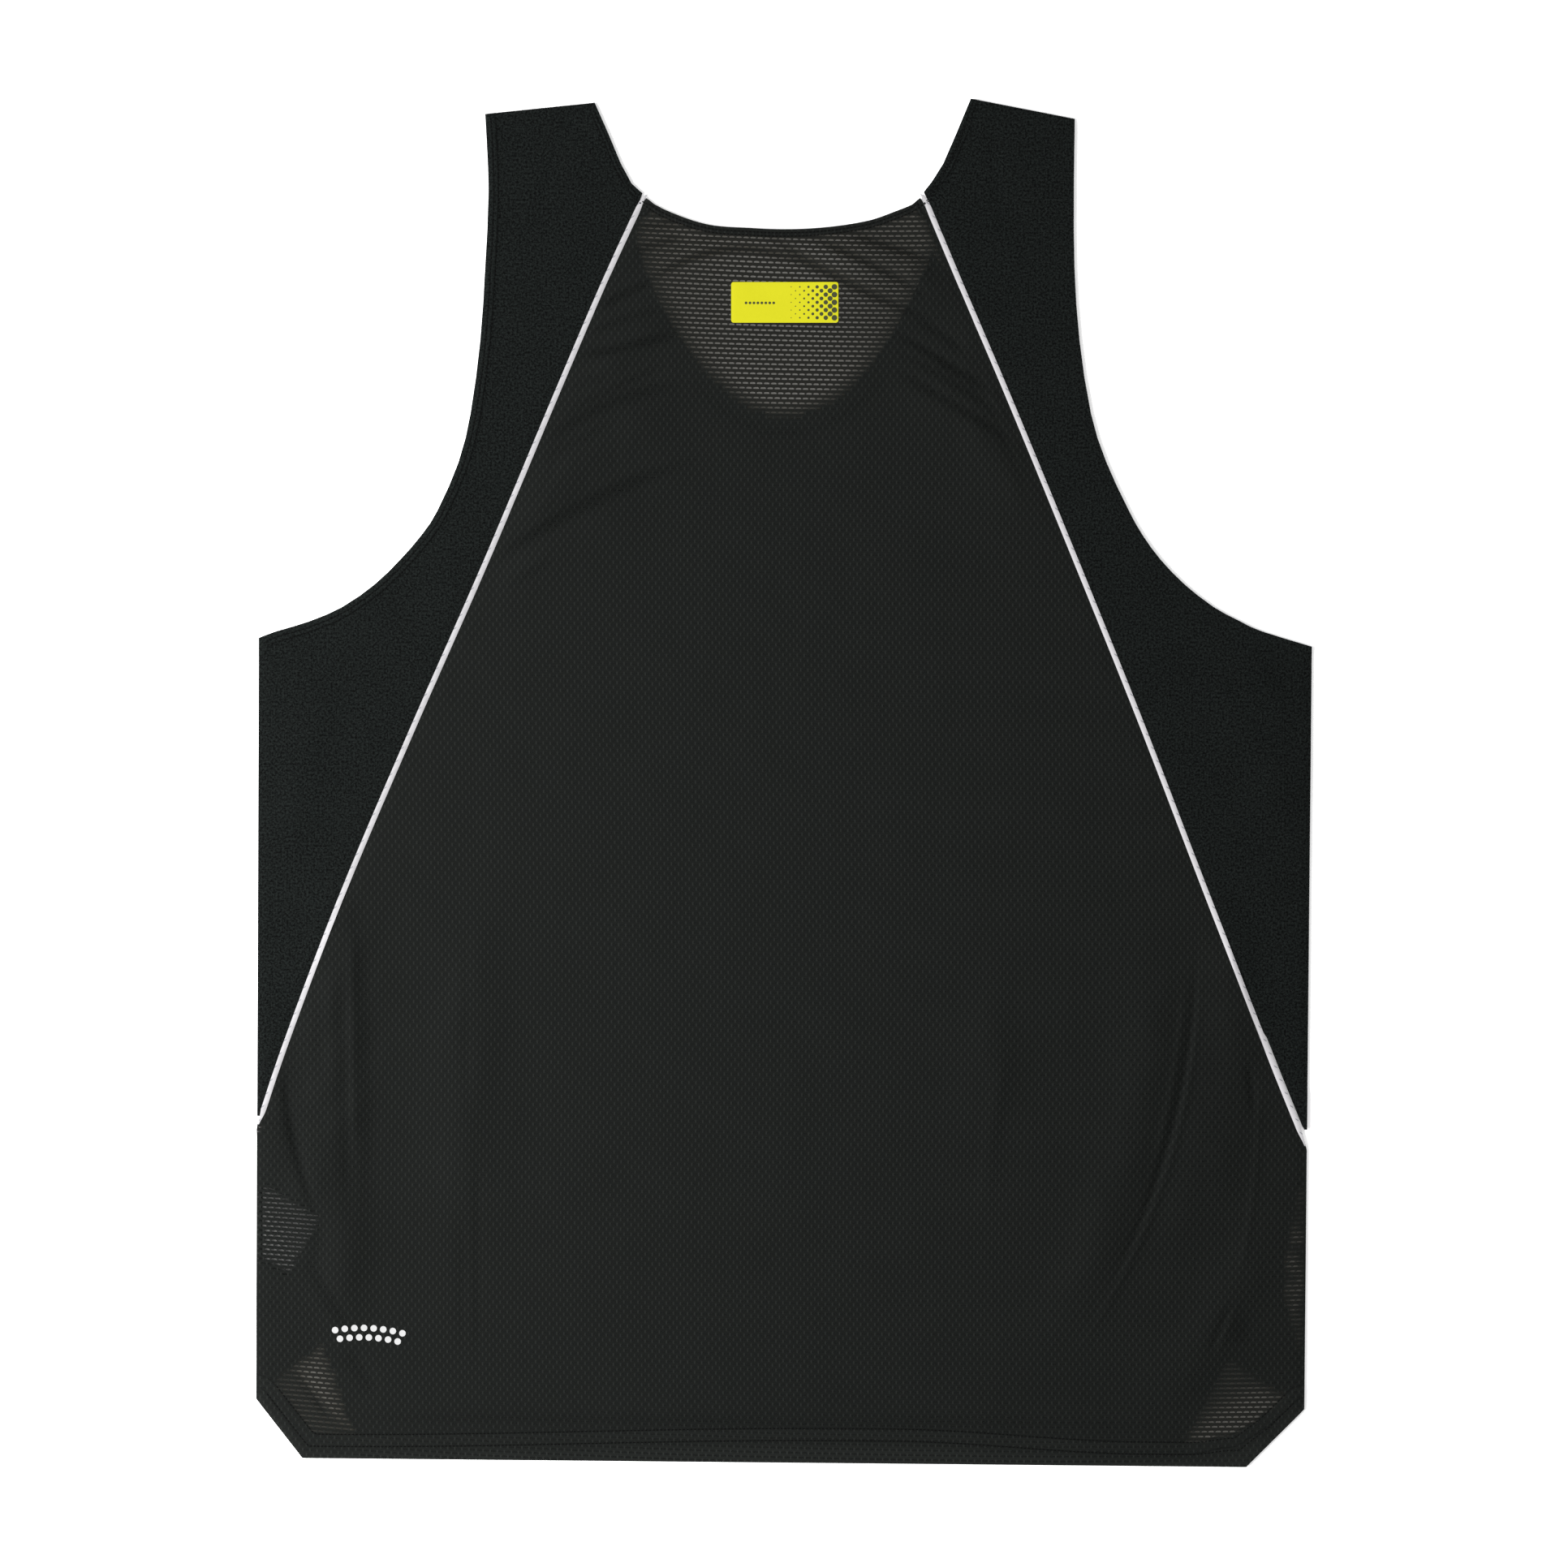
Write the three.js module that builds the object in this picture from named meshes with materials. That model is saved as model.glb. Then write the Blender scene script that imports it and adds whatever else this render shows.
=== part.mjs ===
import * as THREE from 'three';

// A sleeveless basketball jersey, men's size L, laid flat with its back upwards.
// Millimetres: X runs across the chest, Y up the garment to the shoulders, Z up from the table.
// The front lies underneath, flat on the table, and the back lies over it with its soft folds.
// Distances across are measured from the centre line, and heights from the middle of the garment.

// Driving dimensions
const clothWall = 1.0; // one layer of mesh or knit
const layerGap = 0.3; // between pieces that lie on each other
const seamGap = 0.3; // between pieces that are sewn edge to edge
const pipingWidth = 3.9;
const pipingRise = 0.3; // how far the piping stands above the cloth beside it
const neckDrop = 18.6; // back neckline below the ends of the piping
const neckHalfWidth = 73.9; // centre line to the piping's end at the back neckline
const neckHeight = 313; // where the piping ends at the back neckline
const neckCorner = 314.5; // where a side panel meets the neckline, beside the piping
const frontNeckDrop = 102.5; // front neckline below its crossing with the piping
const frontNeckHalfWidth = 79;
const frontNeckHeight = 298;
const chestHeight = 225; // above here the rows of the back lie closer, for its small folds
const tipWidth = 1.5; // a side panel's narrow lower end, cut square

// Heights of the layers
const frontBase = 0;
const backBase = clothWall + layerGap;

// The outer edge from the hem to the underarm, as straight stretches.
const sideEdge = [
  { at: 'hem', left: 256.2, leftHeight: -359.2, right: 245.8, rightHeight: -364.0 },
  { at: 'turned corner', left: 280.8, leftHeight: -327.7, right: 276.8, rightHeight: -333.3 },
  { at: 'underarm', left: 279.4, leftHeight: 77.1, right: 280.8, rightHeight: 72.4 },
];

// The armhole, from just above the underarm to just below the shoulder seam.
const armhole = [
  { height: 80.6, left: 270.0, right: 254.0 },
  { height: 85.8, left: 252.7, right: 242.8 },
  { height: 93.5, left: 235.0, right: 228.5 },
  { height: 105.6, left: 217.7, right: 213.0 },
  { height: 118.6, left: 204.3, right: 200.4 },
  { height: 131.5, left: 193.1, right: 190.9 },
  { height: 144.5, left: 184.5, right: 183.6 },
  { height: 170.4, left: 173.2, right: 171.5 },
  { height: 196.3, left: 166.8, right: 163.3 },
  { height: 235.2, left: 161.6, right: 157.2 },
  { height: 274.1, left: 159.0, right: 154.5 },
  { height: 315.0, left: 157.2, right: 154.2 },
];

// The shoulder seam, from the armhole to the neck.
const shoulder = [
  { at: 'armhole end', left: 159.0, leftHeight: 355.8, right: 154.7, rightHeight: 353.2 },
  { at: 'neck end', left: 100.7, leftHeight: 361.8, right: 99.4, rightHeight: 364.0 },
];

// The middle of the piping, from below its end at the side seam to the neck.
const piping = [
  { height: -228, left: 294.5, right: 291.5 },
  { height: -200, left: 285.0, right: 280.4 },
  { height: -142.8, left: 266.5, right: 257.3 },
  { height: -56.4, left: 233.7, right: 223.8 },
  { height: 30.0, left: 197.0, right: 190.7 },
  { height: 116.4, left: 159.0, right: 156.0 },
  { height: 202.8, left: 122.7, right: 120.5 },
  { height: 267.6, left: 95.0, right: 92.9 },
  { height: neckHeight, left: neckHalfWidth, right: neckHalfWidth },
];

// The back neckline from the piping up to the shoulder seam.
const backNeck = [
  { height: 319.0, left: 81.2, right: 78.2 },
  { height: 329.4, left: 86.8, right: 84.7 },
  { height: 345.0, left: 93.3, right: 91.5 },
];

// The front neckline from its crossing with the piping up to the shoulder seam.
const frontNeck = [
  { height: 300.0, left: 82.8, right: 81.6 },
  { height: 315.0, left: 86.6, right: 84.4 },
  { height: 332.0, left: 91.4, right: 89.6 },
  { height: 348.0, left: 96.2, right: 94.6 },
];

// The largest folds of the back: a ridge from one end to the other, bowed sideways in its middle.
const folds = [
  { at: 'under the neck', x1: -80, y1: 262, x2: 68, y2: 254, bow: 26, rise: 2.4, spread: 8 },
  { at: 'right of the neck', x1: 14, y1: 287, x2: 84, y2: 262, bow: 5, rise: 2.6, spread: 7 },
  { at: 'left chest, upper', x1: -108, y1: 206, x2: -58, y2: 246, bow: 5, rise: 2.2, spread: 8 },
  { at: 'left chest, middle', x1: -136, y1: 146, x2: -52, y2: 196, bow: 9, rise: 2.8, spread: 9 },
  { at: 'left chest, lower', x1: -150, y1: 104, x2: -72, y2: 138, bow: 9, rise: 2.2, spread: 11 },
  { at: 'right chest, upper', x1: 66, y1: 214, x2: 112, y2: 184, bow: 6, rise: 2.2, spread: 8 },
  { at: 'right chest, lower', x1: 92, y1: 184, x2: 130, y2: 152, bow: 5, rise: 1.6, spread: 8 },
  { at: 'left waist', x1: -232, y1: -52, x2: -226, y2: -206, bow: -9, rise: 3.2, spread: 12 },
  { at: 'left body', x1: -164, y1: -78, x2: -166, y2: -252, bow: -4, rise: 2.2, spread: 13 },
  { at: 'left hip', x1: -262, y1: -176, x2: -232, y2: -300, bow: 8, rise: 3.0, spread: 11 },
  { at: 'right body', x1: 108, y1: -110, x2: 104, y2: -190, bow: 4, rise: 1.8, spread: 12 },
  { at: 'right waist', x1: 196, y1: -96, x2: 146, y2: -288, bow: 14, rise: 3.2, spread: 11 },
  { at: 'right hip', x1: 236, y1: -74, x2: 214, y2: -246, bow: 10, rise: 3.0, spread: 11 },
  { at: 'right corner', x1: 252, y1: -232, x2: 196, y2: -330, bow: 9, rise: 2.4, spread: 10 },
  { at: 'middle of the hem', x1: -96, y1: -334, x2: 26, y2: -337, bow: 3, rise: 1.4, spread: 8 },
  { at: 'left side panel', x1: -262, y1: -40, x2: -238, y2: 62, bow: 6, rise: 1.6, spread: 12 },
  { at: 'right side panel', x1: 266, y1: -22, x2: 232, y2: 70, bow: -6, rise: 1.6, spread: 12 },
];

// The neck label, printed on a plate that is pressed on to the back's upper face.
const neckLabel = { x: 0.4, y: 255.5, width: 57, height: 21.6, columns: 8, rows: 4 };

// The care label: a strip sewn into the left side seam, which lies between back and front.
const careLabel = { x: -272.5, y: -238.9, width: 35, length: 36.5, turn: -0.53 };
const careLabelLift = { rise: clothWall + layerGap + 0.15, flat: 17, fade: 26 };

// What the front lacks at its lower corners and right side, where the table shows through the back.
const frontOpenings = {
  left: [
    { x: -226.0, y: -361.0 },
    { x: -231.6, y: -344.5 },
    { x: -247.5, y: -301.3 },
    { x: -279.6, y: -326.4 },
  ],
  right: [
    { x: 275.2, y: -334.6 },
    { x: 264.6, y: -326.4 },
    { x: 235.9, y: -306.9 },
    { x: 215.6, y: -347.1 },
    { x: 211.0, y: -362.0 },
  ],
};
const frontSideHollow = { top: -216, bottom: -316, depth: 10.5 };
const frontInset = 0.8; // the front's edge lies this far inside the back's

// Small helpers for outlines, where sign is -1 on the left and 1 on the right
const sides = [
  { name: 'left', sign: -1 },
  { name: 'right', sign: 1 },
];

function curveThrough(rows, side) {
  const points = rows.map((row) => new THREE.Vector2(side.sign * row[side.name], row.height));
  return new THREE.SplineCurve(points);
}

function cornerPoint(row, side) {
  return new THREE.Vector2(side.sign * row[side.name], row[`${side.name}Height`]);
}

// A line that runs beside another at a steady distance, away from the centre line where positive.
function beside(points, distance, side) {
  return points.map((point, index) => {
    const before = points[Math.max(index - 1, 0)];
    const after = points[Math.min(index + 1, points.length - 1)];
    const along = after.clone().sub(before).normalize();
    const outward = new THREE.Vector2(side.sign * Math.abs(along.y), Math.abs(along.x));
    return point.clone().addScaledVector(outward, distance);
  });
}

// Where a line that climbs steadily stands at one height.
function xAtHeight(points, height) {
  let index = 1;
  while (index < points.length - 1 && points[index].y < height) index += 1;
  const low = points[index - 1];
  const high = points[index];
  return THREE.MathUtils.mapLinear(height, low.y, high.y, low.x, high.x);
}

function pointAtHeight(points, height) {
  return new THREE.Vector2(xAtHeight(points, height), height);
}

// The height at which two climbing lines stand as far apart as asked, found by halving.
function heightWhereApart(outer, inner, apart, low, high) {
  for (let round = 0; round < 30; round += 1) {
    const middle = (low + high) / 2;
    const width = Math.abs(xAtHeight(outer, middle)) - Math.abs(xAtHeight(inner, middle));
    if (width < apart) low = middle;
    else high = middle;
  }
  return low;
}

function evenSteps(from, to, steps) {
  return Array.from({ length: steps }, (unused, index) => from + ((to - from) * index) / steps);
}

function between(a, b, steps) {
  return evenSteps(0, 1, steps).map((part) => a.clone().lerp(b, part));
}

// The seam lines of one side of the garment
function seamLines(side) {
  const middle = curveThrough(piping, side).getPoints(80);
  const half = pipingWidth / 2;
  const [hem, corner, underarm] = sideEdge.map((row) => cornerPoint(row, side));
  const [shoulderOut, shoulderIn] = shoulder.map((row) => cornerPoint(row, side));
  const armholePoints = curveThrough(armhole, side).points;
  const armholeCurve = new THREE.SplineCurve([underarm, ...armholePoints, shoulderOut]);
  return {
    hem,
    corner,
    underarm,
    shoulderOut,
    shoulderIn,
    sideSeam: [corner, underarm],
    outerLine: [corner, ...armholeCurve.getPoints(120)],
    pipingIn: beside(middle, -half, side),
    pipingOut: beside(middle, half, side),
    centreEdge: beside(middle, -half - seamGap, side),
    sidePanelEdge: beside(middle, half + seamGap, side),
  };
}

const seams = Object.fromEntries(sides.map((side) => [side.name, seamLines(side)]));

// How high the back lies above its lowest level at a point.
function foldRise(x, y) {
  let total = 0;
  for (const fold of folds) {
    const run = new THREE.Vector2(fold.x2 - fold.x1, fold.y2 - fold.y1);
    const length = run.length();
    run.normalize();
    const along = ((x - fold.x1) * run.x + (y - fold.y1) * run.y) / length;
    const bowed = fold.bow * (1 - (2 * along - 1) ** 2);
    const across = (y - fold.y1) * run.x - (x - fold.x1) * run.y - bowed;
    const start = THREE.MathUtils.smoothstep(along, -0.12, 0.25);
    const end = 1 - THREE.MathUtils.smoothstep(along, 0.7, 1.12);
    total += fold.rise * start * end * Math.exp(-((across / fold.spread) ** 2));
  }
  return total + careLabelRise(x, y);
}

// The care label's own axes: u along its length, v across its width.
function careLabelAxes(x, y) {
  const offset = new THREE.Vector2(x - careLabel.x, y - careLabel.y);
  offset.rotateAround(new THREE.Vector2(0, 0), -careLabel.turn);
  return { u: Math.abs(offset.x) - careLabel.length / 2, v: Math.abs(offset.y) - careLabel.width / 2 };
}

function careLabelRise(x, y) {
  const { u, v } = careLabelAxes(x, y);
  const away = Math.hypot(Math.max(u, 0), Math.max(v, 0));
  const { rise, flat, fade } = careLabelLift;
  return rise * (1 - THREE.MathUtils.smoothstep(away, flat, flat + fade));
}

// A row of points across a panel for each pair of points on its two edges.
function panelGrid(leftEdge, rightEdge, columns) {
  return leftEdge.map((leftEnd, index) => {
    const rightEnd = rightEdge[index];
    return [...between(leftEnd, rightEnd, columns), rightEnd];
  });
}

// One closed wall of cloth over a grid of points, with a height for its underside and its upper face.
function clothGeometry(grid, undersideAt, wall) {
  const rows = grid.length;
  const columns = grid[0].length;
  const positions = [];
  for (const lift of [wall, 0]) {
    for (const row of grid) {
      for (const point of row) positions.push(point.x, point.y, undersideAt(point.x, point.y) + lift);
    }
  }
  const upper = (row, column) => row * columns + column;
  const lower = (row, column) => rows * columns + upper(row, column);
  const faces = [];
  const quad = (a, b, c, d) => faces.push(a, b, c, a, c, d);
  for (let row = 0; row < rows - 1; row += 1) {
    for (let column = 0; column < columns - 1; column += 1) {
      quad(upper(row, column), upper(row, column + 1), upper(row + 1, column + 1), upper(row + 1, column));
      quad(lower(row, column), lower(row + 1, column), lower(row + 1, column + 1), lower(row, column + 1));
    }
  }
  const rim = [];
  for (let column = 0; column < columns - 1; column += 1) rim.push([0, column]);
  for (let row = 0; row < rows - 1; row += 1) rim.push([row, columns - 1]);
  for (let column = columns - 1; column > 0; column -= 1) rim.push([rows - 1, column]);
  for (let row = rows - 1; row > 0; row -= 1) rim.push([row, 0]);
  rim.forEach(([row, column], index) => {
    const [nextRow, nextColumn] = rim[(index + 1) % rim.length];
    quad(upper(row, column), lower(row, column), lower(nextRow, nextColumn), upper(nextRow, nextColumn));
  });
  const geometry = new THREE.BufferGeometry();
  geometry.setAttribute('position', new THREE.Float32BufferAttribute(positions, 3));
  geometry.setIndex(faces);
  geometry.computeVertexNormals();
  return geometry;
}

// A flat layer cut to an outline, for the pieces that lie on the table.
function flatLayer(outline, base) {
  const shape = new THREE.Shape(outline);
  const geometry = new THREE.ExtrudeGeometry(shape, { depth: clothWall, bevelEnabled: false });
  geometry.translate(0, 0, base);
  return geometry;
}

const backUnderside = (x, y) => backBase + foldRise(x, y);

// The back's middle panel of mesh, whose upper edge dips to the neckline.
function backCentreEdge(side) {
  const { hem, corner, sideSeam, centreEdge } = seams[side.name];
  const leave = heightWhereApart(sideSeam, centreEdge, 0, -230, -150);
  const turned = between(hem, corner, 2);
  const alongSide = evenSteps(corner.y, leave, 8).map((height) => pointAtHeight(sideSeam, height));
  const body = evenSteps(leave, chestHeight, 24);
  const neck = evenSteps(chestHeight, neckHeight, 10);
  const alongPiping = [...body, ...neck, neckHeight].map((height) => pointAtHeight(centreEdge, height));
  return [...turned, ...alongSide, ...alongPiping];
}

function backNeckDip(x) {
  return neckDrop * Math.max(1 - (x / neckHalfWidth) ** 2, 0) ** 0.62;
}

function backCentrePanel() {
  const [leftEdge, rightEdge] = sides.map(backCentreEdge);
  const grid = panelGrid(leftEdge, rightEdge, 36);
  const dipReach = 90; // how far below the neck the rows still bend with it
  for (const point of grid.flat()) {
    const share = THREE.MathUtils.smoothstep(point.y, neckHeight - dipReach, neckHeight);
    point.y -= share * backNeckDip(point.x);
  }
  return clothGeometry(grid, backUnderside, clothWall);
}

// A side panel reaches from its narrow tip at the side seam up to the shoulder, past the armhole.
function outerEdge(side, heights) {
  const { outerLine, shoulderOut, shoulderIn } = seams[side.name];
  return heights.map((height) => {
    const share = Math.max((height - neckCorner) / (shoulderIn.y - neckCorner), 0);
    const level = share > 0 ? THREE.MathUtils.lerp(neckCorner, shoulderOut.y, share) : height;
    return pointAtHeight(outerLine, level);
  });
}

function sidePanelHeights(side, tip) {
  const { underarm, shoulderIn } = seams[side.name];
  const armholeLevels = armhole.map((row) => row.height).filter((height) => height < neckHeight);
  const stops = [underarm.y, ...armholeLevels, neckCorner];
  const pastArmhole = stops.slice(1).flatMap((stop, index) => evenSteps(stops[index], stop, 2));
  const pastNeck = [neckCorner, ...backNeck.map((row) => row.height), shoulderIn.y];
  return [...evenSteps(tip, underarm.y, 11), ...pastArmhole, ...pastNeck];
}

function backSidePanel(side) {
  const { sideSeam, sidePanelEdge, shoulderIn } = seams[side.name];
  const tip = heightWhereApart(sideSeam, sidePanelEdge, tipWidth, -230, -120);
  const heights = sidePanelHeights(side, tip);
  const besidePiping = sidePanelEdge.filter((point) => point.y < neckCorner - 1);
  const corner = pointAtHeight(sidePanelEdge, neckCorner);
  const innerLine = [...besidePiping, corner, ...curveThrough(backNeck, side).points, shoulderIn];
  const outer = outerEdge(side, heights);
  const inner = heights.map((height) => pointAtHeight(innerLine, height));
  const grid = side.sign < 0 ? panelGrid(outer, inner, 8) : panelGrid(inner, outer, 8);
  return clothGeometry(grid, backUnderside, clothWall);
}

// A strip of piping, cut off along the side seam at its lower end.
function pipingGrid(side, top, rows) {
  const { sideSeam, pipingIn, pipingOut } = seams[side.name];
  const low = heightWhereApart(sideSeam, pipingIn, tipWidth / 2, -230, -150);
  const heights = [...evenSteps(low, top, rows), top];
  return heights.map((height) => {
    const inner = xAtHeight(pipingIn, height);
    const limit = Math.abs(xAtHeight(sideSeam, height));
    const outer = side.sign * Math.min(Math.abs(xAtHeight(pipingOut, height)), limit);
    const ends = [inner, outer].sort((a, b) => a - b);
    return ends.map((x) => new THREE.Vector2(x, height));
  });
}

function backPiping(side) {
  return clothGeometry(pipingGrid(side, neckHeight, 32), backUnderside, clothWall + pipingRise);
}

function frontPiping(side) {
  return clothGeometry(pipingGrid(side, frontNeckHeight, 16), () => frontBase, clothWall);
}

// The front's middle panel of mesh, with the deep round neckline.
function frontNeckCurve() {
  const reach = 0.985; // the pointed ends beside the piping are cut blunt
  return evenSteps(-reach, reach + 0.05, 24).map((part) => {
    const dip = frontNeckDrop * (1 - Math.min(part * part, 0.999)) ** 0.8;
    return new THREE.Vector2(part * (frontNeckHalfWidth - 2.5), frontNeckHeight - dip);
  });
}

function frontCentreEdge(side) {
  const { sideSeam, centreEdge } = seams[side.name];
  const leave = heightWhereApart(sideSeam, centreEdge, frontInset, -230, -150);
  const start = side.sign < 0 ? frontOpenings.left.at(-1).y : frontOpenings.right[0].y;
  const alongSide = evenSteps(start, leave, 12).slice(1).map((height) => {
    const span = (height - frontSideHollow.bottom) / (frontSideHollow.top - frontSideHollow.bottom);
    const inHollow = side.sign > 0 && span > 0 && span < 1;
    const hollow = inHollow ? frontSideHollow.depth * Math.sin(Math.PI * span) ** 2 : 0;
    return new THREE.Vector2(xAtHeight(sideSeam, height) - side.sign * (frontInset + hollow), height);
  });
  const pipingHeights = evenSteps(leave, frontNeckHeight - 4, 14);
  return [...alongSide, ...pipingHeights.map((height) => pointAtHeight(centreEdge, height))];
}

function frontCentrePanel() {
  const [leftEdge, rightEdge] = sides.map(frontCentreEdge);
  const corners = (points) => points.map((point) => new THREE.Vector2(point.x, point.y));
  const outline = [
    ...corners(frontOpenings.left),
    ...leftEdge,
    ...frontNeckCurve(),
    ...rightEdge.reverse(),
    ...corners(frontOpenings.right),
  ];
  return flatLayer(outline.reverse(), frontBase);
}

function frontSidePanel(side) {
  const { sideSeam, sidePanelEdge, shoulderIn } = seams[side.name];
  const tip = heightWhereApart(sideSeam, sidePanelEdge, tipWidth + frontInset, -230, -120);
  const inset = (point) => new THREE.Vector2(point.x - side.sign * frontInset, point.y - frontInset);
  const outer = outerEdge(side, sidePanelHeights(side, tip)).map(inset);
  const pipingHeights = evenSteps(tip, frontNeckHeight, 16);
  const alongPiping = pipingHeights.map((height) => pointAtHeight(sidePanelEdge, height));
  const neckPoints = curveThrough(frontNeck, side).points;
  const shoulderEnd = new THREE.Vector2(shoulderIn.x + side.sign * frontInset, shoulderIn.y - frontInset);
  const inner = [...alongPiping, ...neckPoints, shoulderEnd];
  const outline = [...inner, ...outer.reverse()];
  return flatLayer(side.sign < 0 ? outline : outline.reverse(), frontBase);
}

// The labels
function neckLabelGeometry() {
  const { x, y, width, height, columns, rows } = neckLabel;
  const edge = (edgeX) => [...evenSteps(y - height / 2, y + height / 2, rows), y + height / 2]
    .map((level) => new THREE.Vector2(edgeX, level));
  const grid = panelGrid(edge(x - width / 2), edge(x + width / 2), columns);
  return clothGeometry(grid, (px, py) => backUnderside(px, py) + clothWall + layerGap, clothWall);
}

function careLabelGeometry() {
  const { x, y, width, length, turn } = careLabel;
  const seam = xAtHeight(seams.left.sideSeam, y) + frontInset;
  const centre = new THREE.Vector2(x, y);
  const corner = (u, v) => {
    const point = new THREE.Vector2(x + (u * length) / 2, y + (v * width) / 2);
    return point.rotateAround(centre, turn);
  };
  const [lowIn, highIn] = [corner(1, -1), corner(1, 1)];
  const [lowOut, highOut] = [corner(-1, -1), corner(-1, 1)];
  const atSeam = (inside, outside) => {
    const share = (seam - inside.x) / (outside.x - inside.x);
    return inside.clone().lerp(outside, share);
  };
  const outline = [atSeam(lowIn, lowOut), lowIn, highIn, atSeam(highIn, highOut)];
  return flatLayer(outline, frontBase + clothWall + layerGap);
}

// Materials
function fabric(color, roughness) {
  return new THREE.MeshStandardMaterial({ color, roughness, metalness: 0 });
}

const blackMesh = () => fabric(0x26282a, 0.75);
const blackKnit = () => fabric(0x1b1e1f, 0.85);
const whitePiping = () => fabric(0xe6e3ea, 0.6);
const yellowFilm = () => fabric(0xe6e628, 0.45);
const whiteRibbon = () => fabric(0xe9e9e6, 0.6);

// The garment
const jersey = new THREE.Group();

function addPiece(name, geometry, material) {
  const mesh = new THREE.Mesh(geometry, material);
  mesh.name = name;
  jersey.add(mesh);
}

addPiece('front_center_panel', frontCentrePanel(), blackMesh());
addPiece('back_center_panel', backCentrePanel(), blackMesh());
for (const side of sides) {
  addPiece(`front_side_panel_${side.name}`, frontSidePanel(side), blackKnit());
  addPiece(`back_side_panel_${side.name}`, backSidePanel(side), blackKnit());
  addPiece(`front_piping_${side.name}`, frontPiping(side), whitePiping());
  addPiece(`back_piping_${side.name}`, backPiping(side), whitePiping());
}
addPiece('neck_label', neckLabelGeometry(), yellowFilm());
addPiece('care_label', careLabelGeometry(), whiteRibbon());

export default jersey;
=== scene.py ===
# A sleeveless basketball jersey, men's size L, laid flat on a pale floor with its back upwards.
# Metres, in the frame of its solids: X across the chest, Y up the garment, Z up from the floor.
# Tables of points and folds are in millimetres, as they are in the part's source.
import math

import bmesh
import bpy
from mathutils import Matrix, Vector, noise
from mathutils.bvhtree import BVHTree
from mathutils.kdtree import KDTree


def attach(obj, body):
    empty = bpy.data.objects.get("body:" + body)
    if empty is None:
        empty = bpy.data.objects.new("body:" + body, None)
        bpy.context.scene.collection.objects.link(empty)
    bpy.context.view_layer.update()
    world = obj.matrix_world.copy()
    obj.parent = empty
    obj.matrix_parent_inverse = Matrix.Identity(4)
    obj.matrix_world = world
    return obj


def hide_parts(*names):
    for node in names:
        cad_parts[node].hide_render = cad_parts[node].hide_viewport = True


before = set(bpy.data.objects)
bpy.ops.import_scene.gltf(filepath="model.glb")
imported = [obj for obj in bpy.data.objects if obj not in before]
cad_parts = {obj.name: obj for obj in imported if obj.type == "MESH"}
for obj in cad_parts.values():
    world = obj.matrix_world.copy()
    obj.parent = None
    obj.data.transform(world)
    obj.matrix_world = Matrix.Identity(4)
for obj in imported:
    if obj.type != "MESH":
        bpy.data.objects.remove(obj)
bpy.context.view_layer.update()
MM = 0.001

# The studio: a near-white table lit a little from below, so that nothing throws a shadow on it,
# with soft light from all round and a broad soft box low on the left. The camera looks straight
# down, 835 mm across its view.
scene = bpy.context.scene
scene.view_settings.view_transform = "Standard"
view_width = 0.8346
view_centre_y = -0.00065
camera_height = 3.2

world = bpy.data.worlds.new("even_light")
world.use_nodes = True
background = world.node_tree.nodes["Background"].inputs
background["Color"].default_value = (1.0, 1.0, 1.0, 1.0)
background["Strength"].default_value = 0.76
scene.world = world

lamp = bpy.data.lights.new("soft_box_left", "AREA")
lamp.size = 1.1
lamp.energy = 63.0
lamp_object = bpy.data.objects.new("soft_box_left", lamp)
lamp_object.location = (-1.2, -0.2, 1.1)
lamp_object.rotation_euler = (-lamp_object.location).to_track_quat("-Z", "Y").to_euler()
scene.collection.objects.link(lamp_object)

lens = bpy.data.cameras.new("camera")
lens.sensor_width = 36.0
lens.lens = lens.sensor_width * camera_height / view_width
lens.clip_end = 20.0
camera = bpy.data.objects.new("camera", lens)
camera.location = (0.0, view_centre_y, camera_height)
scene.collection.objects.link(camera)
scene.camera = camera


def add(tree, kind, inputs=None, **settings):
    """One shader node with its settings, and a value or a link for each input that is named."""
    made = tree.nodes.new("ShaderNode" + kind)
    for name, value in settings.items():
        setattr(made, name, value)
    for socket, value in (inputs or {}).items():
        if isinstance(value, bpy.types.NodeSocket):
            tree.links.new(value, made.inputs[socket])
        else:
            made.inputs[socket].default_value = value
    return made


def finish_of(name, inputs):
    """A new material, its node tree and its shader, with the shader's steady numbers set."""
    material = bpy.data.materials.new(name)
    material.use_nodes = True
    tree = material.node_tree
    shader = tree.nodes["Principled BSDF"]
    for socket, value in inputs.items():
        shader.inputs[socket].default_value = value
    return material, tree, shader


def object_of(net, name, finish, wall=0.0):
    """The net as an object with one material, and with a wall below it where it needs one."""
    data = bpy.data.meshes.new(name)
    net.to_mesh(data)
    data.materials.append(finish)
    made = bpy.data.objects.new(name, data)
    scene.collection.objects.link(made)
    if wall:
        shell = made.modifiers.new("wall", "SOLIDIFY")
        shell.thickness = wall
        shell.offset = -1.0
    return made


floor_finish, tree, shader = finish_of(
    "pale_floor",
    {
        "Base Color": (0.95, 0.95, 0.95, 1.0),
        "Roughness": 0.9,
        "Specular IOR Level": 0.1,
        "Emission Color": (1.0, 1.0, 1.0, 1.0),
        "Emission Strength": 0.25,
    },
)
floor_place = add(tree, "TexCoord").outputs["Object"]
floor_grain = add(tree, "TexNoise", {"Vector": floor_place, "Scale": 30.0, "Detail": 3.0})
floor_relief = add(tree, "Bump", {"Strength": 0.02, "Height": floor_grain.outputs["Fac"]})
tree.links.new(floor_relief.outputs["Normal"], shader.inputs["Normal"])
floor_mesh = bmesh.new()
bmesh.ops.create_grid(floor_mesh, x_segments=2, y_segments=2, size=4.0)
floor = object_of(floor_mesh, "floor", floor_finish)
floor_mesh.free()

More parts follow.
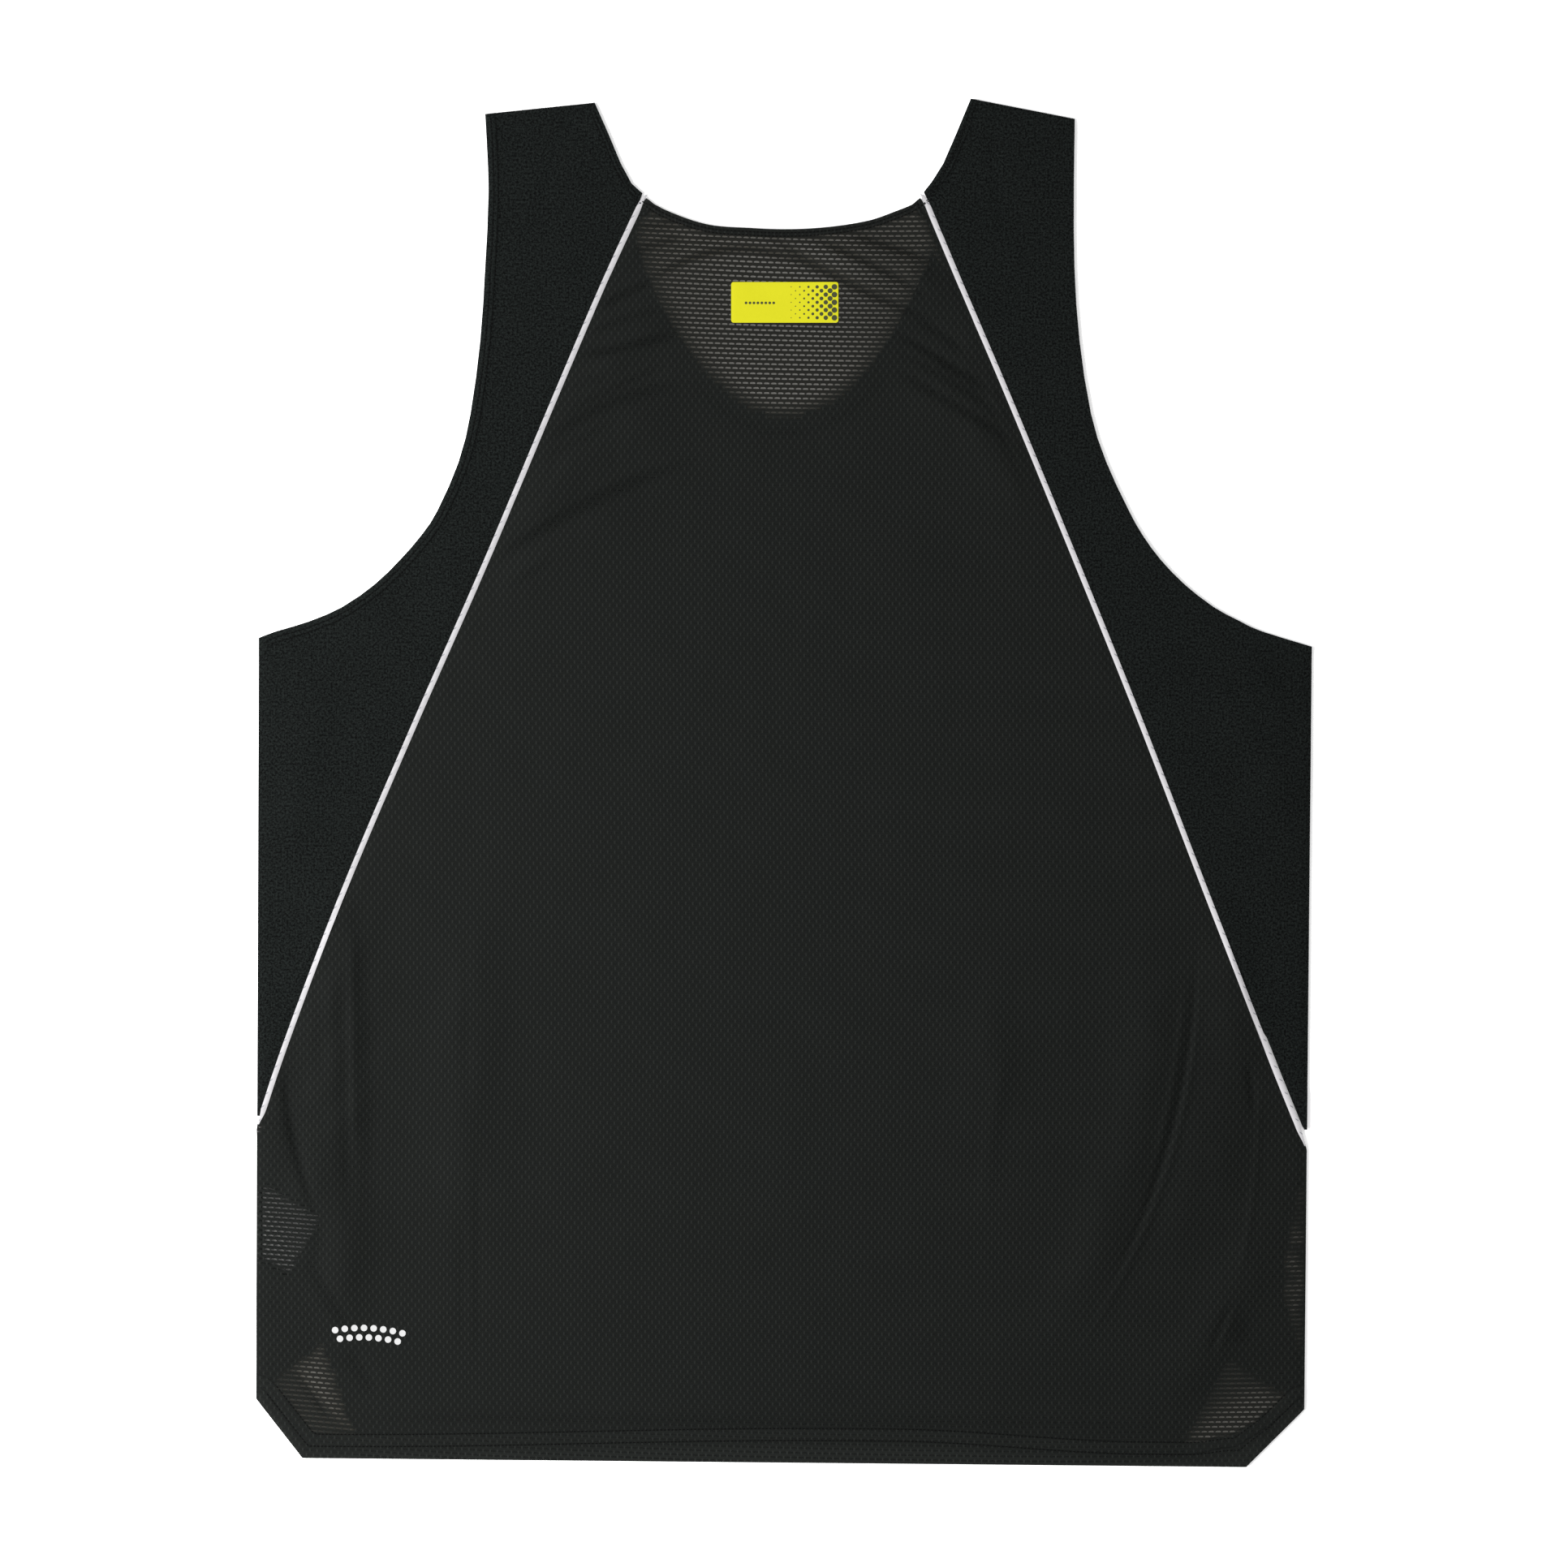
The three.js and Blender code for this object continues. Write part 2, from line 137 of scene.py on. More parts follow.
# The back's middle panel: black warp-knitted athletic mesh, about half a millimetre thick, with
# rows of small slots. Its neckline, and its hem with both lower corners, are turned in and held by
# two rows of stitches. The panel lies on the front, and falls to the floor at the side seams.
cloth_wall = 0.8 * MM
column = 3.76  # from slot to slot along a row
row_pitch = 2.572
slot_length, slot_height = 2.95, 0.98
neck_rows = (2.0, 3.8)  # how far the two rows of stitches lie from the edge
hem_rows = (6.4, 12.8)  # at its ends; in the middle the turned hem lies deeper

# Ridges and troughs pulled out of the seams, finer than those of the solid: from one end to the
# other, bowed sideways in the middle.
small_folds = [
    # x1, y1, x2, y2, bow, rise, spread
    # From the left seam towards the neck.
    (-96, 253.5, -70, 267, 0.5, -0.9, 2.2),
    (-72, 266, 12, 275.5, 13, -0.95, 2.0),
    (-106, 228, -56, 239, -0.5, -1.0, 2.6),
    (-101, 240, -64, 253, 1, -0.55, 2.0),
    (-110, 199, -64, 221, 1, -0.6, 2.0),
    (-112, 211, -92, 217, 0, -0.5, 2.2),
    (-98, 206, -66, 224, 1, 0.4, 2.0),
    (-123, 183.5, -54, 212.5, 4.5, -0.85, 2.8),
    (-129, 171, -88, 193, 0.5, -0.5, 2.2),
    (-150, 120.5, -50, 170.5, 4, -0.9, 2.8),
    (-140, 128, -70, 166, 3, -0.35, 2.4),
    (-143, 139, -108, 155, 2, 0.5, 3.0),
    (-143, 106, -122, 118, 0, -0.45, 2.6),
    (-77, 283.5, -54, 290.5, 0.5, -0.8, 1.8),
    (-76, 296.5, -56, 298.5, 0, -0.7, 1.5),
    (-78, 288.5, -46, 295, 1, 0.5, 2.0),
    (-70, 276.5, -36, 288.5, 1, 0.4, 2.2),
    # From the right seam.
    (-4, 288, 74, 249, -2.4, -1.0, 2.3),
    (18, 289, 74, 261, 1, -0.95, 2.1),
    (38, 291.5, 77, 279, 0, -0.85, 1.9),
    (10, 283, 66, 256.5, -1, 0.4, 2.0),
    (72, 246, 96, 230, 1, -0.6, 2.6),
    (82, 225, 95, 219, 0, -0.5, 2.6),
    (63, 238, 110, 209, 0.5, -0.8, 2.1),
    (66, 227, 116, 197, 0.5, -0.55, 1.9),
    (64, 217, 120, 183.5, 0.5, -0.95, 2.3),
    (108, 211, 118, 192, 0, 0.4, 3.0),
    # Down the left side.
    (-229, -60, -223, -226, 4.5, -0.5, 4.6),
    (-237, -96, -232, -234, 0.5, -0.6, 3.0),
    (-229.5, -82, -228.5, -190, 0, 0.5, 1.8),
    (-247, -110, -246, -158, -1, -0.35, 2.5),
    (-266, -152, -250, -226, -2.5, -1.0, 2.2),
    (-263, -110, -261, -205, 0, -0.45, 6.0),
    (-251, -258, -233, -288, 0, -0.8, 2.6),
    (-249, -228, -252, -262, 2, -0.4, 3.0),
    (-232, -304, -219, -324, 1, -0.6, 3.0),
    (-260, -312, -242, -338, 0, -0.7, 1.4),
    (-169, -84, -169, -176, 0, -0.2, 2.2),
    (-163, -198, -163, -304, 0, -0.25, 2.4),
    (-171, -232, -171, -302, 0, -0.2, 2.0),
    # Down the right side.
    (116, -150, 107, -220, -1, 0.6, 4.0),
    (219, -100, 181, -252, 8, -0.6, 1.7),
    (213, -110, 196, -206, 2.5, 0.5, 1.7),
    (188, -105, 170, -240, 5, -0.22, 10.0),
    (221, -110, 164, -291, 12.5, 0.55, 1.8),
    (229, -112, 212, -250, 6, -0.42, 9.0),
    (252.5, -168, 242, -262, 3, 0.45, 1.6),
    (247, -150, 250, -175, 0, -0.6, 2.0),
    (227, -302, 237, -278, 0, -0.5, 2.0),
    (231, -301, 240, -280, 0, 0.4, 1.8),
    (246, -284, 244, -298, 0, -0.5, 4.0),
    # Above the hem, in the side panels and in the straps.
    (-214, -338, 20, -341, 1, -0.45, 2.6),
    (10, -340, 214, -344, 2, -0.4, 2.6),
    (-250, 60, -196, 12, 3, -0.4, 4.0),
    (238, 58, 262, 20, -3, -0.5, 3.6),
    (250, 66, 268, 34, -1, 0.4, 3.4),
    (-130, 300, -112, 350, 2, -0.35, 4.0),
    (118, 296, 112, 348, 2, -0.35, 4.0),
    (-119, 354, -101, 342, 1, -0.6, 2.2),
]


def soft_step(low, high, value):
    """A share that goes softly from 0 to 1 as the value goes from low to high, or down to it."""
    share = min(max((value - low) / (high - low), 0.0), 1.0)
    return share * share * (3 - 2 * share)


def hem_drop(x, y):
    """How much further the hem's two rows lie from its edge in the middle and round the corner."""
    in_middle = 5.6 * soft_step(-240, 30, x) * soft_step(190, 60, x)
    round_corner = 4.5 * soft_step(26, 0, math.dist((x, y), (240, -352)))
    return in_middle + round_corner if y < 0 else 0.0


def fold_height(x, y, folds):
    """How far the folds lift the cloth at a point, in millimetres."""
    total = 0.0
    for x1, y1, x2, y2, bow, rise, spread in folds:
        length = math.hypot(x2 - x1, y2 - y1)
        run_x, run_y = (x2 - x1) / length, (y2 - y1) / length
        along = ((x - x1) * run_x + (y - y1) * run_y) / length
        if -0.2 < along < 1.2:
            bowed = bow * (1 - (2 * along - 1) ** 2)
            across = (y - y1) * run_x - (x - x1) * run_y - bowed
            if abs(across) < 3 * spread:
                ends = soft_step(-0.15, 0.25, along) * soft_step(1.15, 0.75, along)
                total += rise * ends * math.exp(-((across / spread) ** 2))
    return total


def upper_face(node, cuts, rounds):
    """The upper face of one cloth solid, as a fine and softened net."""
    skin = bmesh.new()
    skin.from_mesh(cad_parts[node].data)
    bmesh.ops.remove_doubles(skin, verts=skin.verts, dist=1e-6)
    skin.normal_update()
    other_faces = [face for face in skin.faces if face.normal.z < 0.4]
    bmesh.ops.delete(skin, geom=other_faces, context="FACES")
    bmesh.ops.subdivide_edges(skin, edges=skin.edges, cuts=cuts, use_grid_fill=True)
    for _ in range(rounds):
        bmesh.ops.smooth_vert(skin, verts=skin.verts, factor=0.5, use_axis_z=True)
    return skin


def struck_from_above(surface, x, y):
    """Where a line straight down at a point, in metres, meets a surface."""
    return surface.ray_cast(Vector((x, y, 0.1)), Vector((0, 0, -1)))[0]


def edge_line(skin, wanted):
    """The net's open edge where it is wanted: points a millimetre apart, from left to right."""
    onward = {}
    for edge in skin.edges:
        start, end = edge.verts
        if edge.is_boundary and wanted(*((start.co + end.co) / 2 / MM).xy):
            onward.setdefault(start, []).append(end)
            onward.setdefault(end, []).append(start)
    here = min((vert for vert in onward if len(onward[vert]) == 1), key=lambda vert: vert.co.x)
    passed = [here]
    while here:
        here = next((vert for vert in onward[here] if vert not in passed[-2:]), None)
        passed += [here] if here else []
    corners = [(vert.co / MM).xy.to_3d() for vert in passed]
    line = []
    for start, end in zip(corners, corners[1:]):
        steps = max(round((end - start).length), 1)
        line += [start.lerp(end, step / steps) for step in range(steps)]
    return line + [corners[-1]]


def nearest(points):
    """A tree that gives the distance from a point to the nearest of these."""
    tree = KDTree(len(points))
    for index, point in enumerate(points):
        tree.insert(point, index)
    tree.balance()
    return tree


def mark_turned(skin, turned):
    """Keeps each point's place in the turned edges of a panel as three layers: its share of the way
    from the edge to the inner row of stitches, and how far it lies inside each row.

    Turned holds pairs of an edge line and its two rows of stitches."""
    turned = [(nearest(line), rows) for line, rows in turned]
    for name in ("turned_edge", "past_outer", "past_inner"):
        skin.verts.layers.float.new(name)
    layers = skin.verts.layers.float
    for vert in skin.verts:
        place = (vert.co / MM).xy.to_3d()
        reached = [(tree.find(place)[2], rows) for tree, rows in turned]
        distance, rows = min(reached, key=lambda found: found[0] / found[1][1])
        distance -= hem_drop(*place.xy)
        vert[layers["turned_edge"]] = distance / rows[1]
        vert[layers["past_outer"]] = distance - rows[0]
        vert[layers["past_inner"]] = distance - rows[1]


def shape_edges(skin, turned, seams, rolled):
    """Lays the small folds and ripples over a panel, lifts its turned edges, sinks its seams and
    lets its folded edges roll down."""
    skin.verts.layers.float.new("crease_shade")
    mark_turned(skin, turned)
    seams, rolled = nearest(seams), nearest(rolled)
    edges = nearest([point for line, _ in turned for point in line])
    crease_shade, band = (skin.verts.layers.float[name] for name in ("crease_shade", "turned_edge"))
    for vert in skin.verts:
        place = (vert.co / MM).xy.to_3d()
        lift = 0.26 * soft_step(1.12, 0.94, vert[band])
        to_edge = edges.find(place)[2]
        rounding = 0.3 * math.exp(-((to_edge / 1.2) ** 2))
        to_seam, to_roll = seams.find(place)[2], rolled.find(place)[2]
        sink = 0.32 * math.exp(-((to_seam / 2.2) ** 2)) + 0.6 * math.exp(-((to_roll / 2.6) ** 2))
        x, y = place.xy
        ripple = 0.16 * noise.noise(Vector((x / 26, y / 34, 1.7)))
        ripple += 0.05 * noise.noise(Vector((x / 7, y / 9, 4.2)))
        in_dimples = math.exp(-((x / 75) ** 2) - ((y - 70) / 48) ** 2)
        ripple += 0.16 * in_dimples * noise.noise(Vector((x / 9, y / 13, 8.1)))
        small_fold = fold_height(x, y, small_folds)
        # The crease shade layer keeps how deep a point lies in a trough of the small folds, where
        # the finish paints shade into the colour.
        vert[crease_shade] = min(max(-1.1 * small_fold, 0.0), 1.0)
        vert.co.z += (small_fold + lift - rounding - sink + ripple) * MM


def beyond_tape(x, y):
    """How far a point lies outside the slanting seam of the side panel."""
    return abs(x) - 73.9 - 0.433 * (313 - y)


def meet_tape(skin, seam, outward):
    """Draws a panel's seam over its tape's edge, outward (1) from the middle or inward (-1)."""
    seam = nearest(seam)
    for vert in skin.verts:
        drawn = 0.8 * soft_step(3.8, 0.3, seam.find((vert.co / MM).xy.to_3d())[2])
        vert.co.x += math.copysign(drawn, outward * vert.co.x) * MM


def lay_rows(skin, rows_at):
    """A map of the cloth in millimetres, along and across its rows."""
    layer = skin.loops.layers.uv.new("cloth")
    for face in skin.faces:
        for loop in face.loops:
            loop[layer].uv = rows_at(loop.vert.co.x / MM, loop.vert.co.y / MM)


back_surfaces = []  # what lies on top, for the stitches and the label


def laid_cloth(skin, name, node, finish, wall):
    """The net as a piece of cloth with its wall below it, in place of its solid."""
    for edge in skin.edges:
        edge.smooth = not edge.is_boundary
    piece = object_of(skin, name, finish, wall)
    piece.data.shade_smooth()
    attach(piece, "root")
    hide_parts(node)
    return piece


def cloth_rows(x, y):
    """Where a point lies on the cloth's own rows, which sag and tilt a little as it lies."""
    slope = 0.026 * x - 0.00008 * x * x
    near_neck = soft_step(150, 280, y) * 0.00012 * x * x
    side_seam = -3.0 * soft_step(-150, -300, y) * soft_step(-150, -280, x)
    wave = 0.35 * math.sin(x / 31 + 0.4) * math.sin(y / 47 + 1.1)
    return x + 0.5 * math.sin(y / 60), y + slope - near_neck + side_seam + wave


def maths(tree, operation, *values):
    """The result of one sum on values or links."""
    return add(tree, "Math", dict(enumerate(values)), operation=operation).outputs[0]


def layer_value(tree, name):
    """The value of one of the mesh's layers of points."""
    return add(tree, "Attribute", attribute_name=name).outputs["Fac"]


def mixed(tree, share, none, full):
    """A colour that goes from the one to the other as the share goes from 0 to 1."""
    return add(tree, "MixRGB", {"Fac": share, "Color1": none, "Color2": full}).outputs["Color"]


def raise_relief(tree, shader, strength, distance, height):
    """Lets the shader's surface seem to rise with the height."""
    bump = add(tree, "Bump", {"Strength": strength, "Distance": distance, "Height": height})
    tree.links.new(bump.outputs["Normal"], shader.inputs["Normal"])


def smooth_range(tree, value, none, full):
    """A share that goes softly from 0 to 1 as the value goes from none to full."""
    inputs = {"Value": value, "From Min": none, "From Max": full}
    return add(tree, "MapRange", inputs, interpolation_type="SMOOTHSTEP").outputs["Result"]


def slotted_mesh_group():
    """The slots in staggered rows, the upright yarns between them and the fine loops."""
    group = bpy.data.node_groups.new("slotted_mesh", "ShaderNodeTree")
    for name, kind in (("Cloth", "Vector"), ("Slot Length", "Float"), ("Slot Height", "Float")):
        group.interface.new_socket(name=name, in_out="INPUT", socket_type="NodeSocket" + kind)
    for name in ("Slot", "Upright", "Yarn", "Height"):
        group.interface.new_socket(name=name, in_out="OUTPUT", socket_type="NodeSocketFloat")
    given = group.nodes.new("NodeGroupInput").outputs
    result = group.nodes.new("NodeGroupOutput")
    place = add(group, "SeparateXYZ", {"Vector": given["Cloth"]}).outputs
    row = maths(group, "DIVIDE", place["Y"], row_pitch)
    row_index = maths(group, "FLOOR", row)
    in_row = maths(group, "SUBTRACT", maths(group, "SUBTRACT", row, row_index), 0.5)
    up = maths(group, "MULTIPLY", in_row, row_pitch)
    shift = maths(group, "MULTIPLY", maths(group, "FLOORED_MODULO", row_index, 2.0), 0.5)
    step = maths(group, "ADD", maths(group, "DIVIDE", place["X"], column), shift)
    off_centre = maths(group, "SUBTRACT", maths(group, "FRACT", step), 0.5)
    off_x = maths(group, "ABSOLUTE", maths(group, "MULTIPLY", off_centre, column))
    half_length = maths(group, "MULTIPLY", given["Slot Length"], 0.5)
    half_height = maths(group, "MULTIPLY", given["Slot Height"], 0.5)
    x_part = maths(group, "POWER", maths(group, "DIVIDE", off_x, half_length), 4.0)
    arched = maths(group, "MULTIPLY_ADD", x_part, 0.16, up)
    up_share = maths(group, "ABSOLUTE", maths(group, "DIVIDE", arched, half_height))
    y_part = maths(group, "POWER", up_share, 2.0)
    slot = smooth_range(group, maths(group, "ADD", x_part, y_part), 1.3, 0.75)
    to_side = maths(group, "SUBTRACT", column / 2, off_x)
    level = smooth_range(group, maths(group, "ABSOLUTE", up), 1.2, 0.5)
    upright = maths(group, "MULTIPLY", smooth_range(group, to_side, 0.6, 0.12), level)
    loops_x = maths(group, "SINE", maths(group, "MULTIPLY", place["X"], math.tau / 0.94))
    loops_y = maths(group, "SINE", maths(group, "MULTIPLY", place["Y"], math.tau / 0.643))
    yarn = maths(group, "MULTIPLY_ADD", maths(group, "MULTIPLY", loops_x, loops_y), 0.5, 0.5)
    relief = maths(group, "MULTIPLY_ADD", yarn, 0.25, maths(group, "MULTIPLY", upright, 0.35))
    solid = maths(group, "SUBTRACT", 1.0, slot)
    height = maths(group, "MULTIPLY", solid, maths(group, "ADD", relief, 0.5))
    for name, value in (("Slot", slot), ("Upright", upright), ("Yarn", yarn), ("Height", height)):
        group.links.new(value, result.inputs[name])
    return group


slotted_mesh = slotted_mesh_group()


def stitch_grooves(tree):
    """Where the two rows of stitches pull the cloth in."""
    rows = []
    for name in ("past_outer", "past_inner"):
        from_row = maths(tree, "ABSOLUTE", layer_value(tree, name))
        rows.append(smooth_range(tree, from_row, 0.75, 0.15))
    return maths(tree, "MAXIMUM", *rows)


def mesh_finish(name, yarn_dark, yarn_light, slot_shade_and_light, see_through):
    """The black mesh, closed where its edges are turned in, and see-through in its slots or not.
    Its slot colour is painted shade, and painted light from below where the back lies alone.
    """
    steady = {"Roughness": 0.75, "Specular IOR Level": 0.05}
    material, tree, shader = finish_of(name, steady)
    cloth = add(tree, "UVMap", uv_map="cloth").outputs["UV"]
    band = layer_value(tree, "turned_edge")
    pattern = add(tree, "Group", node_tree=slotted_mesh)
    tree.links.new(cloth, pattern.inputs["Cloth"])
    pattern.inputs["Slot Length"].default_value = slot_length
    pattern.inputs["Slot Height"].default_value = slot_height
    pattern = pattern.outputs
    single = smooth_range(tree, band, 1.0, 1.05)
    faint = maths(tree, "MULTIPLY_ADD", single, 0.25, 0.75)
    slot = maths(tree, "MULTIPLY", pattern["Slot"], faint)
    mottle = add(tree, "TexNoise", {"Vector": cloth, "Scale": 0.9, "Detail": 3.0, "Roughness": 0.7})
    patches = add(tree, "TexNoise", {"Vector": cloth, "Scale": 0.03, "Detail": 2.0})
    light = maths(tree, "MULTIPLY", pattern["Yarn"], 0.15)
    light = maths(tree, "MULTIPLY_ADD", pattern["Upright"], 0.48, light)
    light = maths(tree, "MULTIPLY_ADD", mottle.outputs["Fac"], 0.2, light)
    light = maths(tree, "MULTIPLY_ADD", patches.outputs["Fac"], 0.12, light)
    # The turned band is a little lighter, and lighter still near its folded edge: a painted
    # highlight where the fold catches the light.
    light = maths(tree, "MULTIPLY_ADD", smooth_range(tree, band, 1.05, 1.0), 0.08, light)
    light = maths(tree, "MULTIPLY_ADD", smooth_range(tree, band, 0.4, 0.05), 0.14, light)
    # The rows of stitches darken the cloth: partly their needle holes, partly painted shade in the
    # grooves.
    grooves = stitch_grooves(tree)
    light = maths(tree, "MULTIPLY", light, maths(tree, "MULTIPLY_ADD", grooves, -0.55, 1.0))
    # Painted shade: the colour is darkened in the troughs of the small folds.
    crease_shade = layer_value(tree, "crease_shade")
    light = maths(tree, "MULTIPLY", light, maths(tree, "MULTIPLY_ADD", crease_shade, -0.45, 1.0))
    yarns = mixed(tree, light, yarn_dark, yarn_light)
    if see_through:
        # Where the back lies alone its slots take a pale warm colour and its yarns a lighter warm
        # one: painted light from the pale floor below, added to what shows through the open slots.
        alone = layer_value(tree, "alone")
        slot_shade_and_light = mixed(tree, alone, slot_shade_and_light, (0.036, 0.033, 0.025, 1.0))
        half_alone = maths(tree, "MULTIPLY", alone, 0.5)
        yarns = mixed(tree, half_alone, yarns, (0.0112, 0.0104, 0.0086, 1.0))
        gone = maths(tree, "MULTIPLY", slot, layer_value(tree, "openness"))
        tree.links.new(maths(tree, "SUBTRACT", 1.0, gone), shader.inputs["Alpha"])
    tree.links.new(mixed(tree, slot, yarns, slot_shade_and_light), shader.inputs["Base Color"])
    height = maths(tree, "MULTIPLY_ADD", grooves, -0.8, pattern["Height"])
    raise_relief(tree, shader, 0.4, 0.0003, height)
    return material


# Its slot colour stands for the front seen through the slots in shade: painted shade.
back_mesh = mesh_finish(
    "black_mesh_back",
    (0.0017, 0.0021, 0.0018, 1.0),
    (0.0128, 0.0142, 0.0130, 1.0),
    (0.0040, 0.0046, 0.0042, 1.0),
    True,
)
front_outline = upper_face("front_center_panel", 0, 0)
solid_neck = nearest(edge_line(front_outline, lambda x, y: y > 190 and abs(x) < 77))


def pull(skin, pulls):
    """Draws the cloth a little way at some points: x, y, how far in x and y, and how far around."""
    for vert in skin.verts:
        here = (vert.co / MM).xy
        for x, y, pull_x, pull_y, reach in pulls:
            share = soft_step(reach, 0, math.dist(here, (x, y)))
            vert.co += share * Vector((pull_x, pull_y, 0)) * MM


def open_neck(skin):
    """Draws the front's pieces apart round the neckline, which gapes a little as it lies, and its
    lower corners in."""
    pull(skin, [(-250, -322, 2.2, 3.2, 60), (279, -232, -6, 0, 26)])
    # How far the left (-1) and the right side (1) are drawn at some heights.
    gape = {
        -1: ((205, 0), (221, 0.9), (244, 2.6), (264, 3.7), (287, 4.8), (306, 0)),
        1: ((190, 0), (206, 3.0), (226, 3.2), (248, 3.5), (271, 5.3), (285, 6.3), (306, 0)),
    }
    for vert in skin.verts:
        place = (vert.co / MM).xy.to_3d()
        side = -1 if place.x < 0 else 1
        drawn = 0.0
        for (y1, drawn1), (y2, drawn2) in zip(gape[side], gape[side][1:]):
            if y1 < place.y <= y2:
                drawn = drawn1 + (drawn2 - drawn1) * (place.y - y1) / (y2 - y1)
        drawn *= soft_step(0, 14, abs(place.x)) * soft_step(45, 0, solid_neck.find(place)[2])
        vert.co.x += side * drawn * MM


open_neck(front_outline)
front_outline_line = nearest(
    [
        (edge.verts[0].co.lerp(edge.verts[1].co, step / 20) / MM).xy.to_3d()
        for edge in front_outline.edges
        if edge.is_boundary
        for step in range(21)
    ]
)
front_below = BVHTree.FromBMesh(front_outline)
front_outline.free()

ribbon_x, ribbon_y = -270.2, -237.4
ribbon_run = (0.863, 0.506)  # the cosine and the sine of the ribbon's turn


def over_ribbon(x, y):
    """1 where the care label's ribbon lies right below the back."""
    x, y = x - ribbon_x, y - ribbon_y
    along = abs(ribbon_run[0] * x - ribbon_run[1] * y)
    across = abs(ribbon_run[1] * x + ribbon_run[0] * y)
    return soft_step(18.5, 17, max(along, across))


def single_layer(x, y):
    """How far the back lies alone at a point: 0 over the front, and 1 well clear of it."""
    if struck_from_above(front_below, x * MM, y * MM):
        return 0.0
    to_front = front_outline_line.find(Vector((x, y, 0)))[2]
    below_neck = 0.16 * soft_step(228, 206, y) if y > 0 else 0.0
    clear = 1.0 - (0.5 + below_neck) * soft_step(8, 0.5, to_front)
    by_side = 0.4 * soft_step(8, 2, seam_tree.find(Vector((x, y, 0)))[2])
    turned_under = soft_step(0, 4, -0.73 * (x + 258) - 0.684 * (y + 313)) * soft_step(-200, -240, x)
    to_lower_edge = -0.515 * (x - 263.7) + 0.857 * (y + 326)
    bunched = soft_step(3, 17, to_lower_edge) * soft_step(190, 210, x) * soft_step(-290, -305, y)
    right_of_label = soft_step(15, 60, x) * soft_step(150, 200, y)
    left_of_label = soft_step(-15, -50, x) * soft_step(150, 200, y)
    left_corner = soft_step(-46, -72, x) * soft_step(150, 200, y)
    low_left = soft_step(-200, -240, x) * soft_step(-290, -305, y)
    patchy = min(max(0.4 - 1.4 * noise.noise(Vector((x / 4, y / 7, 2.0))), 0.0), 0.9)
    for dimmed in (
        by_side,
        patchy * soft_step(262, 268, x) * soft_step(-304, -296, y),
        0.68 * turned_under,
        0.65 * bunched,
        0.32 * right_of_label,
        0.14 * left_of_label,
        0.3 * left_corner,
        0.12 * low_left,
        0.3 * soft_step(180, 210, x),
    ):
        clear *= 1 - dimmed
    return clear


corner_pulls = [
    # The corners where the seams meet the neckline, and the neckline itself.
    (-71.2, 308.4, -1.2, 1.7, 7),
    (71.9, 308.4, 0.2, 1.6, 7),
    (-76.2, 314.4, 0.4, -0.9, 9),
    (77.0, 314.4, -1.5, -0.5, 6),
    (-40, 298, 0, -1.1, 24),
    (60, 303, 0, 0.8, 16),
    # The mesh's corners at the side seams, below the ends of the tape.
    (-279.3, -193.5, 0, 8.5, 22),
    (277.6, -201.1, 0, 4.8, 20),
]
skin = upper_face("back_center_panel", 4, 8)
pull(skin, corner_pulls)
# The net is cut finer along the narrow folds of the lower half.
narrow_folds = [(*fold[:5], 1.0, 3.0) for fold in small_folds if fold[6] < 2.5 and fold[1] < 0]
by_fold = {vert for vert in skin.verts if fold_height(*(vert.co / MM).xy, narrow_folds) > 0.03}
close_edges = [edge for edge in skin.edges if by_fold.issuperset(edge.verts)]
bmesh.ops.subdivide_edges(skin, edges=close_edges, cuts=1, use_grid_fill=True)
neck_line = edge_line(skin, lambda x, y: y > 285 and abs(x) < 75)
hem_line = edge_line(skin, lambda x, y: y < -328 and (x < 0 or y < -333.5))
side_seams = edge_line(skin, lambda x, y: -328 < y < -188 and x < 0)
side_seams += edge_line(skin, lambda x, y: -333 < y < -197 and x > 0)


def by_tape(x, y):
    """Whether a point of the panel's upper edge lies at its seams, and not at its neckline."""
    return y < 250 or (y < 311 and beyond_tape(x, y) > -7)


